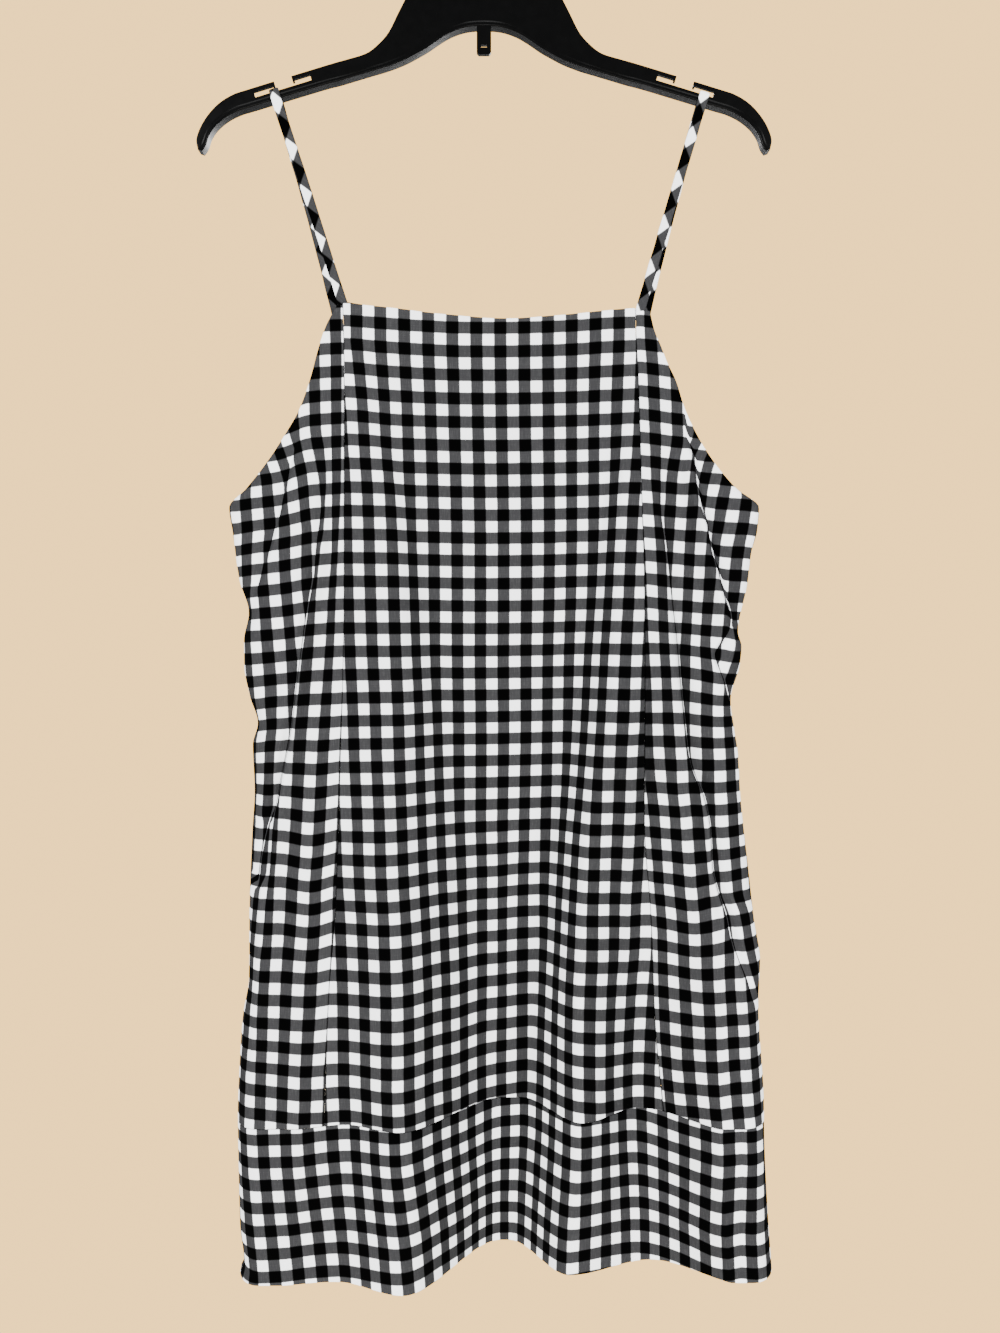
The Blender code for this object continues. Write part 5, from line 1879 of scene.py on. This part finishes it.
@dataclass
class Studio:
    """Camera at the photograph's angle, a pale floor and wall, and soft light all round."""

    lens: float = 29.75
    sensor: float = 36.0
    camera_place: tuple[float, float, float] = (0.012, -0.84884, -0.57521)
    camera_tilt: float = 87.0
    floor_drop: float = 1.9
    floor_radius: float = 1.0
    floor_colour: str = "#EFE3CB"
    # the board's fine grain, counted to a metre, and its relief: strength and height
    floor_grain: float = 300.0
    floor_relief: tuple[float, float] = (0.1, 0.2)
    floor_roughness: float = 0.9
    # the pale wall behind, as the camera sees it, and the plain light that the room gives
    wall_colour: str = "#FFCE7E"
    wall_strength: float = 2.62
    room_colour: str = "#F4F5F8"
    room_strength: float = 0.95
    # place, size and power of each soft lamp
    lamps: tuple[tuple[tuple[float, float, float], float, float], ...] = (
        ((-1.75, -1.95, 0.15), 1.2, 145.0), ((1.75, -1.95, 0.05), 1.2, 125.0),
        ((0.0, -1.5, -1.75), 0.9, 26.0), ((0.3, 2.4, 0.1), 1.6, 130.0))
    lit_place: tuple[float, float, float] = (0.0, 0.0, -0.65)

    def camera(self) -> None:
        """Place the camera where the photograph was taken from."""
        data = bpy.data.cameras.new("camera")
        data.lens = self.lens
        data.sensor_width = self.sensor
        data.clip_start = 0.01
        camera = placed(data)
        camera.location = self.camera_place
        camera.rotation_euler = (math.radians(self.camera_tilt), 0.0, 0.0)
        bpy.context.scene.camera = camera

    def floor(self) -> None:
        """Lay a round pale floor well below the hem."""
        shape = bmesh.new()
        bmesh.ops.create_circle(shape, cap_ends=True, segments=128, radius=self.floor_radius)
        for vertex in shape.verts:
            vertex.co.z -= self.floor_drop
        mesh = bpy.data.meshes.new("studio_floor")
        shape.to_mesh(mesh)
        shape.free()
        material, tree, shader = new_material("matt_painted_board")
        place = add_node(tree, "ShaderNodeTexCoord").outputs["Object"]
        grain = noise_node(tree, place, self.floor_grain)
        normal = bump_node(tree, grain.outputs["Fac"], *self.floor_relief)
        feed(tree, shader, {
            "Base Color": srgb(self.floor_colour), "Normal": normal, "Roughness": self.floor_roughness})
        mesh.materials.append(material)
        floor = placed(mesh)

    def world(self) -> None:
        """Give the room's plain light, with a pale wall where the camera looks past the dress."""
        world = bpy.data.worlds.new("studio_world")
        world.use_nodes = True
        tree = world.node_tree
        tree.nodes.clear()
        room = add_node(tree, "ShaderNodeBackground", {
            "Color": srgb(self.room_colour), "Strength": self.room_strength})
        wall = add_node(tree, "ShaderNodeBackground", {
            "Color": srgb(self.wall_colour), "Strength": self.wall_strength})
        path = add_node(tree, "ShaderNodeLightPath")
        both = add_node(tree, "ShaderNodeMixShader", {
            0: path.outputs["Is Camera Ray"], 1: room.outputs[0], 2: wall.outputs[0]})
        add_node(tree, "ShaderNodeOutputWorld", {"Surface": both.outputs[0]})
        bpy.context.scene.world = world

    def light(self) -> None:
        """Light the dress softly from both sides in front, from below and from behind."""
        for number, (place, size, power) in enumerate(self.lamps):
            data = bpy.data.lights.new(f"lamp_{number}", "AREA")
            data.shape = "DISK"
            data.size = size
            data.energy = power
            lamp = placed(data)
            lamp.location = place
            aim = Vector(self.lit_place) - Vector(place)
            lamp.rotation_euler = aim.to_track_quat("-Z", "Y").to_euler()
            lamp.visible_camera = False

    def build(self) -> None:
        """Make the camera, the floor and the light."""
        self.camera()
        self.floor()
        self.world()
        self.light()


def front_drape() -> Drape:
    """Describe the front's surface."""
    creases = (
        # ridge from the left armhole down to the side seam
        Crease(half_width=13.0, depth=-5.0,
               line=((430, -130), (495, -127), (560, -134), (650, -148), (760, -172))),
        # ridge beside the right armhole
        Crease(half_width=14.0, depth=-7.0,
               line=((440, 150), (482, 160), (552, 174), (580, 183), (612, 198))),
        # trough from the right seam down to the side seam
        Crease(half_width=12.0, depth=5.0,
               line=((510, 136), (620, 148), (700, 158), (790, 172), (870, 205))),
    )
    # along the left seam, the right seam and the band's seam
    puckers = (Pucker(height=0.3, reach=7.0, size=10.0, seed=21),
               Pucker(height=0.3, reach=7.0, size=10.0, seed=22),
               Pucker(height=0.45, reach=7.0, size=9.0, seed=23))
    return Drape(-1, Lines(FRONT_FOLDS), creases, LEFT_TUCKS + RIGHT_TUCKS, puckers)


def back_drape() -> Drape:
    """Describe the back's surface."""
    return Drape(1, Lines(BACK_FOLDS), swell=0.9, noise_seed=31)


def main() -> None:
    """Build the studio and every piece, in order."""
    logging.basicConfig(level=logging.INFO, format="%(name)s: %(message)s")
    Studio().build()
    cotton = GinghamCotton().make()
    front, back = front_drape(), back_drape()
    assemblies = (
        DressFront(front, cotton), DressBack(back, cotton), HemBand(front, back, cotton),
        Straps(front, back, cotton), Stitching(front, back, SewingThread().make()),
        Hanger(MouldedPlastic().make(), PlatedWire().make()))
    for assembly in assemblies:
        for piece in assembly.build():
            LOG.info("%s: %d faces", piece.name, len(piece.data.polygons))


if __name__ == "__main__":
    main()
